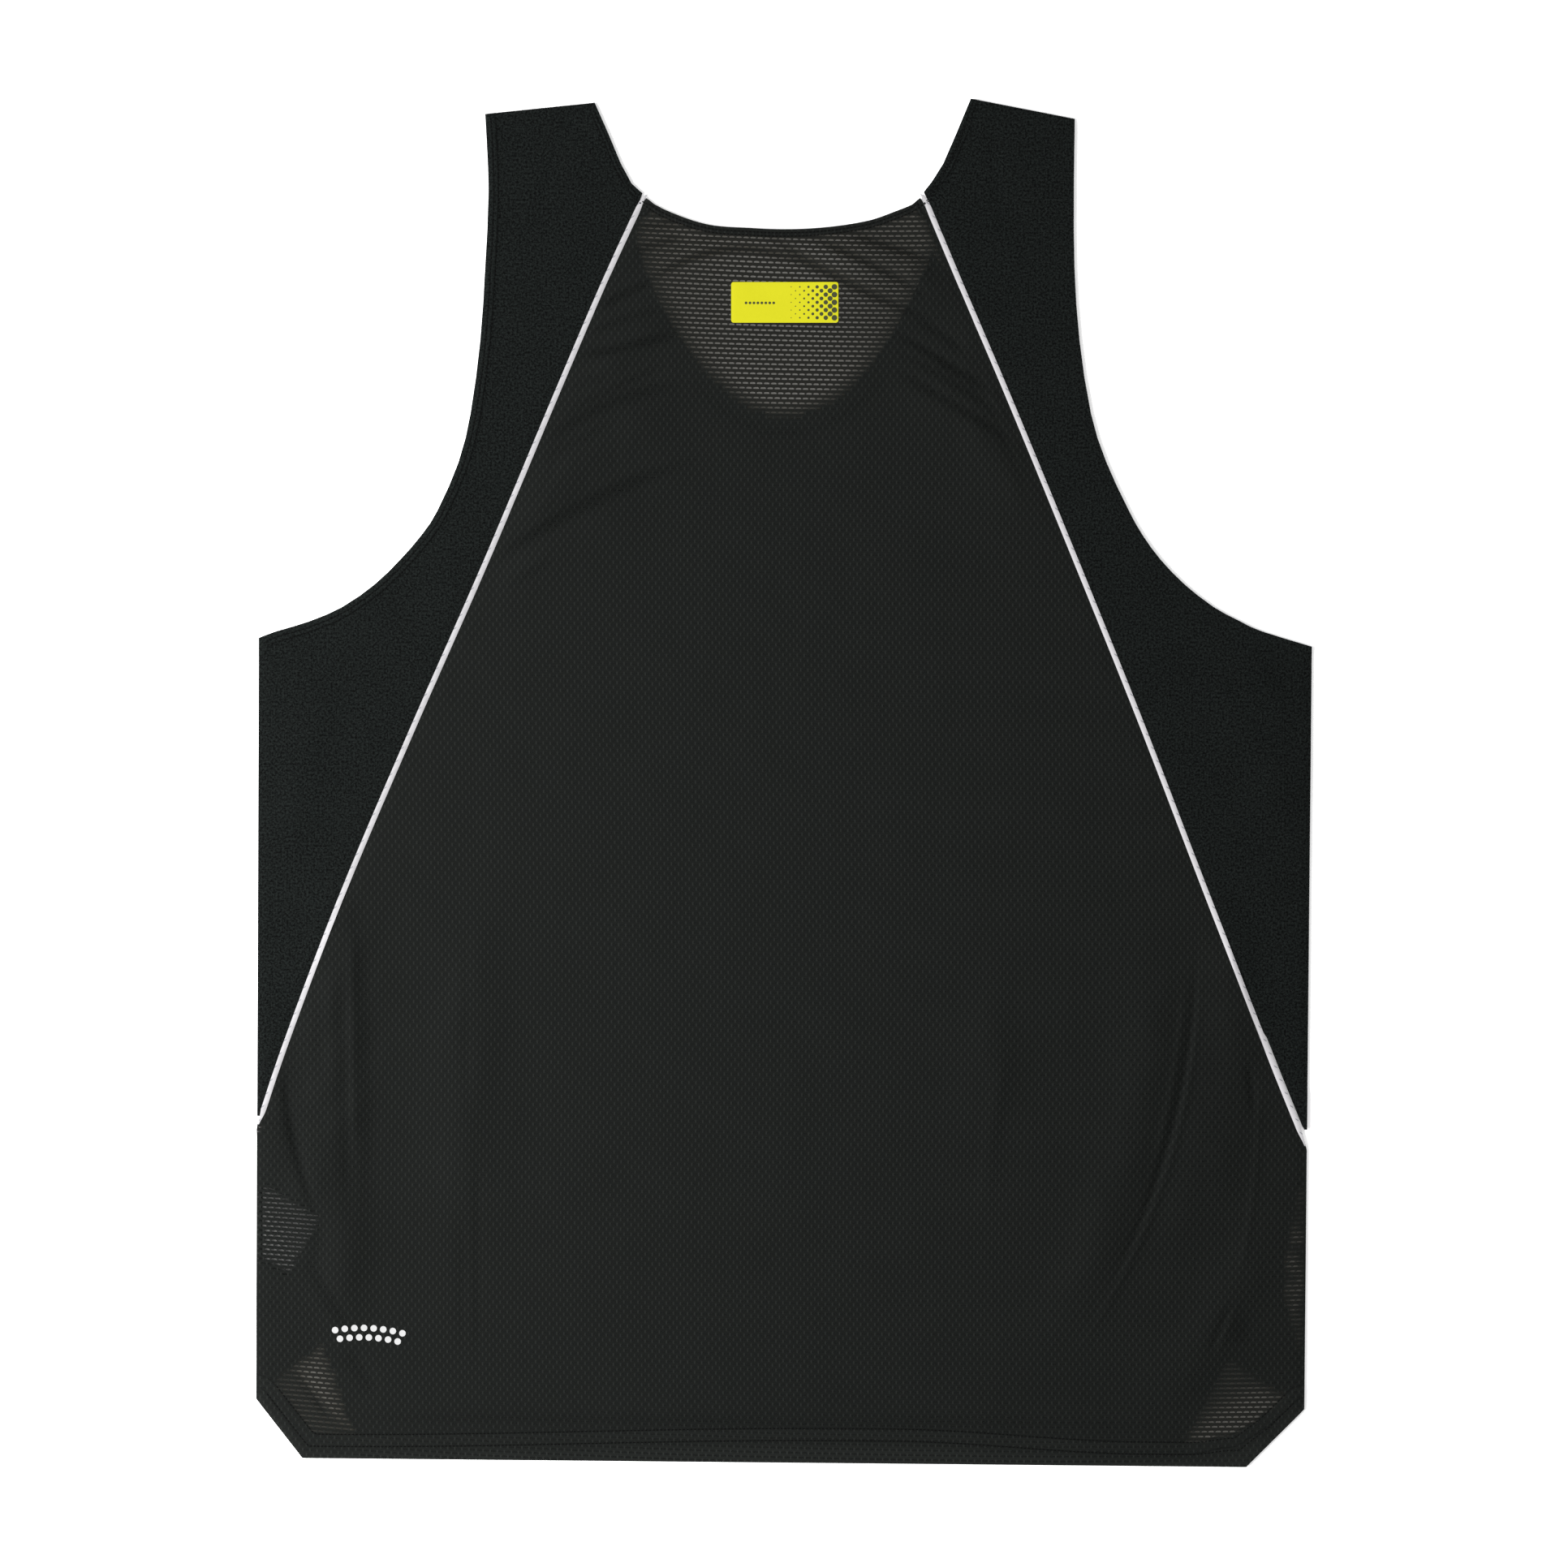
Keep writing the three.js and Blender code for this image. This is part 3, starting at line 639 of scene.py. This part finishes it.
taped_seams = edge_line(skin, lambda x, y: -190 < y and -279 < x < 0 and by_tape(x, y))
taped_seams += edge_line(skin, lambda x, y: -198 < y and 0 < x < 276.9 and by_tape(x, y))
meet_tape(skin, taped_seams, 1)
shape_edges(skin, [(neck_line, neck_rows), (hem_line, hem_rows)], taped_seams, side_seams)
skin.verts.layers.float.new("openness")
skin.verts.layers.float.new("alone")
layers = skin.verts.layers.float
openness, crease_shade, band, by_itself = (
    layers[name] for name in ("openness", "crease_shade", "turned_edge", "alone")
)
neck_tree, seam_tree = nearest(neck_line), nearest(taped_seams + side_seams)
for vert in skin.verts:
    place = (vert.co / MM).xy.to_3d()
    x, y = place.xy
    alone = single_layer(x, y)
    # Over the front's turned neckline the back shows a darker band: painted shade, put in the
    # crease shade layer.
    neck_band = math.exp(-(((front_outline_line.find(place)[2] - 9.5) / 1.8) ** 2)) * (1 - alone)
    neck_band *= soft_step(140, 165, y) * soft_step(235, 200, y)
    vert[crease_shade] = max(vert[crease_shade], 0.38 * neck_band)
    # Over the front the slots open a little more towards the right, so the back darkens there as
    # the light falls off: painted shade.
    over_front = 0.03 + 0.06 * soft_step(-200, 260, x)
    over_front += 0.07 * soft_step(-236, -250, x) * soft_step(-60, -140, y)
    # In the troughs the slots over the front open further and those of the lone back close, which
    # darkens both: painted shade.
    over_front += (0.32 - over_front) * vert[crease_shade]
    share = over_front + (0.55 * (1 - 0.75 * vert[crease_shade]) - over_front) * alone
    share += (0.67 - share) * over_ribbon(x, y)
    sewn = soft_step(4.0, 5.4, neck_tree.find(place)[2])
    sewn *= soft_step(0.6, 3.4, seam_tree.find(place)[2])
    in_hem = soft_step(1.06, 1.0, vert[band])
    share += (0.12 - share) * in_hem
    # The alone layer marks where the finish paints light from the floor below into the back's slots
    # and yarns.
    vert[by_itself] = alone * sewn * (1 - in_hem) * (1 - 0.5 * vert[crease_shade])
    vert[openness] = share * sewn
lay_rows(skin, cloth_rows)
back_middle = laid_cloth(
    skin, "back_middle_panel", "back_center_panel", back_mesh, cloth_wall
)
back_surfaces.append(BVHTree.FromBMesh(skin))
skin.free()


def back_height(x, y):
    """The height of the back's upper face at a point, all in millimetres."""
    hits = [struck_from_above(surface, x * MM, y * MM) for surface in back_surfaces]
    return max([hit.z / MM for hit in hits if hit], default=2.2)


# The front's middle panel: the same mesh, flat on the floor below the back, with the deep round
# neckline and the same hem. It follows the back's folds a little where they lift it.
# It isn't see-through: its slots are painted near black for the shade below it.
front_mesh = mesh_finish(
    "black_mesh_front",
    (0.0014, 0.0018, 0.0016, 1.0),
    (0.0180, 0.0196, 0.0182, 1.0),
    (0.0004, 0.0004, 0.0004, 1.0),
    False,
)


def lattice(skin, spacing):
    """Cuts a flat net into squares, so that it can bend."""
    for axis, normal in enumerate(((1, 0, 0), (0, 1, 0))):
        low = min(vert.co[axis] for vert in skin.verts)
        high = max(vert.co[axis] for vert in skin.verts)
        for step in range(1, int((high - low) / spacing) + 1):
            place = [0.0, 0.0, 0.0]
            place[axis] = low + step * spacing
            everything = skin.verts[:] + skin.edges[:] + skin.faces[:]
            bmesh.ops.bisect_plane(
                skin, geom=everything, dist=1e-7, plane_co=place, plane_no=normal
            )


def flat_face(node, spacing):
    """The upper face of a flat solid, cut into squares."""
    skin = upper_face(node, 0, 0)
    bmesh.ops.dissolve_limit(skin, angle_limit=0.01, verts=skin.verts, edges=skin.edges)
    lattice(skin, spacing)
    bmesh.ops.triangulate(skin, faces=[face for face in skin.faces if len(face.verts) > 4])
    return skin


skin = flat_face("front_center_panel", 0.006)
taped = edge_line(skin, lambda x, y: -168 < y < 288 and x < -79 - 0.3 * (288 - y))
taped += edge_line(skin, lambda x, y: -168 < y < 288 and x > 79 + 0.3 * (288 - y))
meet_tape(skin, taped, 1)
open_neck(skin)
front_neck_line = edge_line(skin, lambda x, y: y > 190 and abs(x) < 79)
front_hem_line = edge_line(skin, lambda x, y: y < -357)
mark_turned(skin, [(front_neck_line, neck_rows), (front_hem_line, hem_rows)])
front_top = 0.9  # the height of the front's upper face where it lies flat
for vert in skin.verts:
    place = (vert.co / MM).xy.to_3d()
    # It rises a little with the back's folds, but not under the ribbon that lies on it.
    lift = 0.3 * max(back_height(*place.xy) - 3.0, 0.0)
    lift *= soft_step(44, 70, math.hypot(place.x + 272, place.y + 239))
    vert.co.z = (front_top + min(lift, 0.8)) * MM
    # Its hem stays half a millimetre inside the back's.
    back_hem = -359.2 - 0.00956 * (place.x + 256.2)
    vert.co.y = max(place.y, back_hem + 0.5) * MM
# Its rows lie a little askew to those of the back.
lay_rows(skin, lambda x, y: (x + 1.1 + 0.004 * y, 0.995 * y + 0.012 * x))
front_middle = laid_cloth(
    skin, "front_middle_panel", "front_center_panel", front_mesh, cloth_wall
)
skin.free()

# The side panels: plain black close knit, dense and matt. Each makes a shoulder strap, an armhole
# and a side down to a point, with its neckline and armhole turned in under two rows of stitches.
arm_rows = (3.0, 5.4)


def close_knit_group():
    """The fine ribs and loops of a plain knit, with a little uneven yarn."""
    group = bpy.data.node_groups.new("close_knit", "ShaderNodeTree")
    group.interface.new_socket(name="Cloth", in_out="INPUT", socket_type="NodeSocketVector")
    for name in ("Tone", "Height"):
        group.interface.new_socket(name=name, in_out="OUTPUT", socket_type="NodeSocketFloat")
    given = group.nodes.new("NodeGroupInput").outputs["Cloth"]
    result = group.nodes.new("NodeGroupOutput")
    place = add(group, "SeparateXYZ", {"Vector": given}).outputs
    ribs = maths(group, "SINE", maths(group, "MULTIPLY", place["X"], math.tau / 0.9))
    slant = maths(group, "MULTIPLY_ADD", maths(group, "ABSOLUTE", ribs), 0.35, place["Y"])
    loops = maths(group, "SINE", maths(group, "MULTIPLY", slant, math.tau / 0.75))
    knit = maths(group, "MULTIPLY_ADD", maths(group, "ADD", ribs, loops), 0.25, 0.5)
    uneven = {"Vector": given, "Scale": 0.85, "Detail": 3.0, "Roughness": 0.8}
    grain = add(group, "TexNoise", uneven)
    cloud = add(group, "TexNoise", {"Vector": given, "Scale": 0.045, "Detail": 3.0})
    tone = maths(group, "MULTIPLY_ADD", grain.outputs["Fac"], 4.7, -2.15)
    tone = maths(group, "MULTIPLY_ADD", knit, 0.3, tone)
    tone = maths(group, "MULTIPLY_ADD", cloud.outputs["Fac"], 0.2, tone)
    group.links.new(tone, result.inputs["Tone"])
    group.links.new(knit, result.inputs["Height"])
    return group


close_knit = close_knit_group()
knit_finish, tree, shader = finish_of(
    "black_close_knit", {"Roughness": 0.85, "Specular IOR Level": 0.05}
)
pattern = add(tree, "Group", node_tree=close_knit)
tree.links.new(add(tree, "UVMap", uv_map="cloth").outputs["UV"], pattern.inputs["Cloth"])
knit_band = smooth_range(tree, layer_value(tree, "turned_edge"), 1.05, 1.0)
knit_tone = maths(tree, "MULTIPLY_ADD", knit_band, 0.16, pattern.outputs["Tone"])
black_yarn = mixed(tree, knit_tone, (0.0002, 0.0003, 0.0003, 1.0), (0.0074, 0.0093, 0.0087, 1.0))
# The rows of stitches darken the knit: partly their needle holes, partly painted shade in the
# grooves.
grooves = stitch_grooves(tree)
black_yarn = mixed(tree, maths(tree, "MULTIPLY", grooves, 0.45), black_yarn, (0.0, 0.0, 0.0, 1.0))
tree.links.new(black_yarn, shader.inputs["Base Color"])
knit_height = maths(tree, "MULTIPLY_ADD", grooves, -1.2, pattern.outputs["Height"])
raise_relief(tree, shader, 0.35, 0.0002, knit_height)

side_necks, armholes, front_armholes = {}, {}, {}
for side in ("left", "right"):
    skin = upper_face("back_side_panel_" + side, 4, 8)
    pull(skin, corner_pulls)
    side_necks[side] = edge_line(skin, lambda x, y: y > 315 and abs(x) < 99.3)
    armholes[side] = edge_line(skin, lambda x, y: 74 < y < 352 and beyond_tape(x, y) > 12)
    shoulder = edge_line(skin, lambda x, y: y > 353 and abs(x) > 101)
    side_seam = edge_line(skin, lambda x, y: y < 70 and abs(x) > 278.5)
    taped_seam = edge_line(
        skin, lambda x, y: y < 311 and abs(beyond_tape(x, y)) < 11 and abs(x) < 276
    )
    edges = [(side_necks[side], neck_rows), (armholes[side], arm_rows)]
    pull(skin, [(-279.2, -172, 0, -4.8, 12)])
    meet_tape(skin, taped_seam, -1)
    shape_edges(skin, edges, taped_seam, shoulder + side_seam)
    lay_rows(skin, lambda x, y: (x, y))
    name = "back_side_cloth_" + side
    panel = laid_cloth(skin, name, "back_side_panel_" + side, knit_finish, cloth_wall)
    back_surfaces.append(BVHTree.FromBMesh(skin))
    skin.free()
    front_name = "front_side_cloth_" + side

    skin = flat_face("front_side_panel_" + side, 0.003)
    front_side_neck = edge_line(skin, lambda x, y: y > 315 and abs(x) < 99.3)
    front_armholes[side] = edge_line(skin, lambda x, y: 74 < y < 352 and beyond_tape(x, y) > 12)
    taped = edge_line(skin, lambda x, y: y < 288 and abs(beyond_tape(x, y)) < 11 and abs(x) < 276)
    meet_tape(skin, taped, -1)
    open_neck(skin)
    mark_turned(skin, [(front_side_neck, neck_rows), (front_armholes[side], arm_rows)])
    for vert in skin.verts:
        vert.co.z = front_top * MM
    lay_rows(skin, lambda x, y: (x, y))
    panel = laid_cloth(
        skin, front_name, "front_side_panel_" + side, knit_finish, cloth_wall
    )
    skin.free()

# The piping: white tape folded lengthwise and caught in the seam between mesh and knit from the
# neckline to the side seam, which leaves 3 mm of it in sight. Its sewing shows as slanting dashes.
tape_finish, tree, shader = finish_of(
    "white_piping_tape", {"Roughness": 0.55, "Specular IOR Level": 0.3}
)
tape_place = add(tree, "UVMap", uv_map="cloth").outputs["UV"]
place = add(tree, "SeparateXYZ", {"Vector": tape_place}).outputs
slanted = maths(tree, "MULTIPLY_ADD", place["X"], 0.9, place["Y"])
in_step = maths(tree, "FRACT", maths(tree, "DIVIDE", slanted, 7.7))
off_dash = maths(tree, "ABSOLUTE", maths(tree, "SUBTRACT", in_step, 0.5))
off_outer = maths(tree, "ABSOLUTE", maths(tree, "SUBTRACT", place["X"], 0.9))
dash = smooth_range(tree, off_dash, 0.075, 0.035)
dash = maths(tree, "MULTIPLY", dash, smooth_range(tree, off_outer, 0.85, 0.6))
ribs = maths(tree, "SINE", maths(tree, "MULTIPLY", place["Y"], math.tau / 0.55))
across = maths(tree, "SINE", maths(tree, "MULTIPLY", place["X"], math.tau / 0.65))
weave = maths(tree, "MULTIPLY_ADD", maths(tree, "MULTIPLY", ribs, across), 0.5, 0.5)
wear = add(tree, "TexNoise", {"Vector": tape_place, "Scale": 0.25, "Detail": 3.0}).outputs["Fac"]
tape_tone = maths(tree, "MULTIPLY_ADD", weave, 0.3, maths(tree, "MULTIPLY", wear, 0.7))
white = mixed(tree, tape_tone, (0.2, 0.196, 0.202, 1.0), (0.376, 0.368, 0.378, 1.0))
where = add(tree, "SeparateXYZ", {"Vector": add(tree, "TexCoord").outputs["Object"]}).outputs["X"]
# The tape is lighter and more even on the garment's right side.
on_right_side = smooth_range(tree, where, -0.22, 0.26)  # on the garment's right side
white = mixed(tree, on_right_side, white, (0.374, 0.366, 0.377, 1.0))
white = mixed(tree, maths(tree, "MULTIPLY", dash, 0.75), white, (0.1, 0.103, 0.119, 1.0))
tree.links.new(white, shader.inputs["Base Color"])
raise_relief(tree, shader, 0.35, 0.0002, maths(tree, "MULTIPLY_ADD", dash, -1.5, weave))

tape_half = 1.95  # half the width of the piping's solids
for layer in ("back", "front"):
    for side, sign in (("left", -1), ("right", 1)):
        skin = upper_face(layer + "_piping_" + side, 4, 0)
        if layer == "front":
            open_neck(skin)
        else:
            pull(skin, corner_pulls)
        outer_points = []
        for edge in skin.edges:
            start, end = (vert.co / MM for vert in edge.verts)
            if edge.is_boundary:
                to_face = edge.link_faces[0].calc_center_median() / MM - start
                off_edge = to_face - to_face.project(end - start)
                if sign * off_edge.x < -abs(off_edge.y):
                    outer_points += [start.lerp(end, step / 8).xy.to_3d() for step in range(9)]
        outer_side = nearest(outer_points)
        map_layer = skin.loops.layers.uv.new("cloth")
        for vert in skin.verts:
            inward = outer_side.find((vert.co / MM).xy.to_3d())[2]
            across = min(inward / tape_half - 1, 1.0)
            vert.co.x += sign * 0.6 * across * MM
            crown = 1 - across ** 2
            if layer == "back":
                vert.co.z += (0.22 * crown - 0.4) * MM
            else:
                vert.co.z = (0.55 + 0.3 * crown) * MM
        for face in skin.faces:
            for loop in face.loops:
                place = loop.vert.co / MM
                inward = outer_side.find(place.xy.to_3d())[2]
                loop[map_layer].uv = (inward, -1.09 * place.y)
        name = layer + "_tape_" + side
        wall = (0.9 if layer == "back" else 0.5) * MM
        tape = laid_cloth(skin, name, layer + "_piping_" + side, tape_finish, wall)
        if layer == "back":
            back_surfaces.append(BVHTree.FromBMesh(skin))
        skin.free()

# The neck label: a rectangle of yellow film with round corners, pressed on the mesh below the neck.
# It is printed dark, with a line of small dots and a screen of dots that grow to the right.
label_x, label_y = 0.4, 255.5
label_width, label_height = 57.0, 21.6
film_wall = 0.35


def sheet_of_film(width, height, cell, corner):
    """A flat rectangle of small cells round the origin, with round corners."""
    film = bmesh.new()
    columns, rows = round(width / cell), round(height / cell)
    bmesh.ops.create_grid(film, x_segments=columns, y_segments=rows, size=0.5)
    bmesh.ops.scale(film, vec=(width * MM, height * MM, 1.0), verts=film.verts)
    corners = [vert for vert in film.verts if len(vert.link_faces) == 1]
    bmesh.ops.bevel(
        film,
        geom=corners,
        offset=corner * MM,
        affect="VERTICES",
        segments=5,
        profile=0.5,
        material=-1,
    )
    return film


film_finish, tree, shader = finish_of(
    "yellow_film", {"Roughness": 0.55, "Specular IOR Level": 0.08}
)
film_place = add(tree, "TexCoord").outputs["Object"]
film_grain, film_cloud = (
    add(tree, "TexNoise", {"Vector": film_place, "Scale": scale, "Detail": 2.0}).outputs["Fac"]
    for scale in (900.0, 60.0)
)
film_tone = maths(tree, "MULTIPLY_ADD", film_grain, 0.5, maths(tree, "MULTIPLY", film_cloud, 0.5))
yellow = mixed(tree, film_tone, (0.352, 0.340, 0.0065, 1.0), (0.402, 0.388, 0.0085, 1.0))
tree.links.new(yellow, shader.inputs["Base Color"])
raise_relief(tree, shader, 0.12, 0.0001, film_grain)


def settled_height(x, y):
    """The back's height evened out over a few millimetres, as stiff film bridges it."""
    around = [(0, 0), (2.5, 0), (-2.5, 0), (0, 2.5), (0, -2.5)]
    return sum(back_height(x + dx, y + dy) for dx, dy in around) / len(around)


skin = sheet_of_film(label_width, label_height, cell=1.5, corner=1.3)
for vert in skin.verts:
    x, y = label_x + vert.co.x / MM, label_y + vert.co.y / MM
    edge = min(label_width / 2 - abs(x - label_x), label_height / 2 - abs(y - label_y))
    pressed = 0.1 * math.exp(-((edge / 0.8) ** 2))
    vert.co = Vector((x, y, settled_height(x, y) + film_wall + 0.08 - pressed)) * MM
label = laid_cloth(skin, "neck_label_film", "neck_label", film_finish, film_wall * MM)
label_surface = BVHTree.FromBMesh(skin)
skin.free()


def uneven_finish(name, roughness, specular, scale, dark, light):
    """A plain material whose colour wanders a little between two."""
    steady = {"Roughness": roughness, "Specular IOR Level": specular}
    material, tree, shader = finish_of(name, steady)
    place = add(tree, "TexCoord").outputs["Object"]
    share = add(tree, "TexNoise", {"Vector": place, "Scale": scale}).outputs["Fac"]
    tree.links.new(mixed(tree, share, dark, light), shader.inputs["Base Color"])
    return material


print_finish = uneven_finish(
    "dark_print", 0.6, 0.2, 700.0, (0.02, 0.023, 0.008, 1.0), (0.037, 0.04, 0.013, 1.0)
)


def add_dot(layer, x, y, radius, sides=14):
    """A small round dot lying flat round a point in millimetres."""
    spot = Matrix.Translation(Vector((x, y, 0)) * MM)
    bmesh.ops.create_circle(layer, cap_ends=True, segments=sides, radius=radius * MM, matrix=spot)


def printed(layer, name, surface, lift, finish):
    """A flat print laid on a surface, as thin as ink."""
    for vert in layer.verts:
        vert.co.z = struck_from_above(surface, *vert.co.xy).z + lift * MM
    piece = object_of(layer, name, finish, 0.06 * MM)
    layer.free()
    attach(piece, "root")


screen_x, screen_length, screen_row = label_x + 3.4, 23.0, 4.1
line_x, line_y, line_step = label_x - 20.6, label_y - 0.3, 2.1
layer = bmesh.new()
for dot_column in range(11):
    share = dot_column / 10
    for dot_row in range(5 - dot_column % 2):
        dot_y = label_y + (dot_row - (4 - dot_column % 2) / 2) * screen_row
        add_dot(layer, screen_x + screen_length * share, dot_y, 0.25 + 1.25 * share ** 1.3)
for dot in range(8):
    add_dot(layer, line_x + line_step * dot, line_y, 0.72)
printed(layer, "neck_label_print", label_surface, 0.05, print_finish)

# The care label: a white satin ribbon folded in half, with its ends sewn into the left side seam.
# It lies between the front and the back, and shows through the back's mesh.
ribbon_finish, tree, shader = finish_of(
    "white_ribbon", {"Roughness": 0.45, "Specular IOR Level": 0.4}
)
ribbon_place = add(tree, "TexCoord").outputs["Object"]
ribbon_place = add(tree, "Mapping", {"Vector": ribbon_place, "Rotation": (0.0, 0.0, 0.53)})
satin = {"Vector": ribbon_place.outputs["Vector"], "Scale": 320.0}
satin = add(tree, "TexWave", satin, bands_direction="Y").outputs["Fac"]
ribbon_white = mixed(tree, satin, (0.7, 0.7, 0.68, 1.0), (0.82, 0.82, 0.8, 1.0))
tree.links.new(ribbon_white, shader.inputs["Base Color"])
raise_relief(tree, shader, 0.1, 0.0001, satin)
skin = flat_face("care_label", 0.0025)
# It lies a little further in than its solid, slightly wavy.
for vert in skin.verts:
    x, y = (vert.co / MM).xy
    vert.co = Vector((x + 2.3, y + 1.5, 1.75 + 0.12 * math.sin(x / 4.1 + y / 6.3))) * MM
ribbon = laid_cloth(
    skin, "care_label_ribbon", "care_label", ribbon_finish, 0.5 * MM
)
skin.free()

# The hem mark: two staggered rows of dots of thin white film, pressed on the back's mesh above the
# hem at the left.
mark_finish = uneven_finish(
    "white_film", 0.5, 0.35, 900.0, (0.31, 0.31, 0.31, 1.0), (0.36, 0.36, 0.36, 1.0)
)
mark_x, mark_y = -220.8, -290.0
mark_step, mark_row_step, mark_radius = 5.1, 5.0, 1.75
layer = bmesh.new()
for mark_row, dots in ((0, 8), (1, 7)):
    for dot in range(dots):
        across = (dot - (dots - 1) / 2) * mark_step
        drop = mark_row_step * mark_row + 0.05 * across + 0.006 * across * across
        add_dot(layer, mark_x + across, mark_y - drop, mark_radius, 20)
printed(layer, "hem_mark", back_surfaces[0], 0.14, mark_finish)

# The stitches: black thread in two even rows along every turned edge, each stitch sunk in the cloth
# between its two needle holes. The front's rows show on its outer face, the lower one.
thread_finish = uneven_finish(
    "black_thread", 0.9, 0.02, 2500.0, (0.001, 0.001, 0.001, 1.0), (0.004, 0.004, 0.004, 1.0)
)
stitch_step = 2.0
stitch_half = (0.72, 0.34)  # half its length and half its width


def row_inside(line, depth, turn):
    """A line that runs inside an edge at an even depth, on its right (1) or its left (-1)."""
    edge = nearest(line)
    inside = []
    for before, after in zip(line, line[4:]):
        run = (after - before).normalized()
        middle = (before + after) / 2
        inward = depth + (hem_drop(*middle.xy) if line in (hem_line, front_hem_line) else 0.0)
        point = middle + turn * inward * Vector((run.y, -run.x, 0))
        if edge.find(point)[2] > inward - 0.12:
            inside.append(point)
    for _ in range(6):
        middles = [(a + 2 * b + c) / 4 for a, b, c in zip(inside, inside[1:], inside[2:])]
        inside[1:-1] = middles
    return inside


def thread_height(x, y, front):
    """How high a stitch lies: on the front's lower face, or sunk in the back's upper one."""
    return 0.11 if front else back_height(x, y) - 0.02


def sew(name, rows, front=False):
    """Stitches along some rows, as one piece. Those of the front lie flatter."""
    half_height = 0.1 if front else 0.16
    stitch = bmesh.new()
    bmesh.ops.create_uvsphere(stitch, u_segments=6, v_segments=4, radius=1.0)
    bmesh.ops.scale(stitch, vec=Vector((*stitch_half, half_height)) * MM, verts=stitch.verts)
    stitch_data = bpy.data.meshes.new("stitch")
    stitch.to_mesh(stitch_data)
    stitch.free()
    threads = bmesh.new()
    for row in rows:
        left = 0.0
        for start, end in zip(row, row[1:]):
            length = (end - start).length
            while left < length:
                spot = start.lerp(end, left / length)
                ahead = spot + (end - start).normalized()
                height = thread_height(*spot.xy, front)
                slope = thread_height(*ahead.xy, front) - height
                run = Vector((*(ahead - spot).xy, max(min(slope, 0.5), -0.5)))
                placed = stitch_data.copy()
                placed.transform(run.to_track_quat("X", "Z").to_matrix().to_4x4())
                placed.transform(Matrix.Translation(Vector((*spot.xy, height)) * MM))
                threads.from_mesh(placed)
                bpy.data.meshes.remove(placed)
                left += stitch_step
            left -= length
    piece = object_of(threads, name, thread_finish)
    threads.free()
    bpy.data.meshes.remove(stitch_data)
    piece.data.shade_smooth()
    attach(piece, "root")


whole_neck = side_necks["left"] + neck_line + side_necks["right"]
sew("hem_stitches", [row_inside(hem_line, depth, -1) for depth in hem_rows])
sew("neck_stitches", [row_inside(whole_neck, depth, 1) for depth in neck_rows])
for side in ("left", "right"):
    rows = [row_inside(armholes[side], depth, 1) for depth in arm_rows]
    sew("armhole_stitches_" + side, rows)
front_rows = [row_inside(front_hem_line, depth, -1) for depth in hem_rows]
front_rows += [row_inside(front_neck_line, depth, 1) for depth in neck_rows]
sew("front_stitches", front_rows, front=True)
for side in ("left", "right"):
    rows = [row_inside(front_armholes[side], depth, 1) for depth in arm_rows]
    sew("front_armhole_stitches_" + side, rows, front=True)
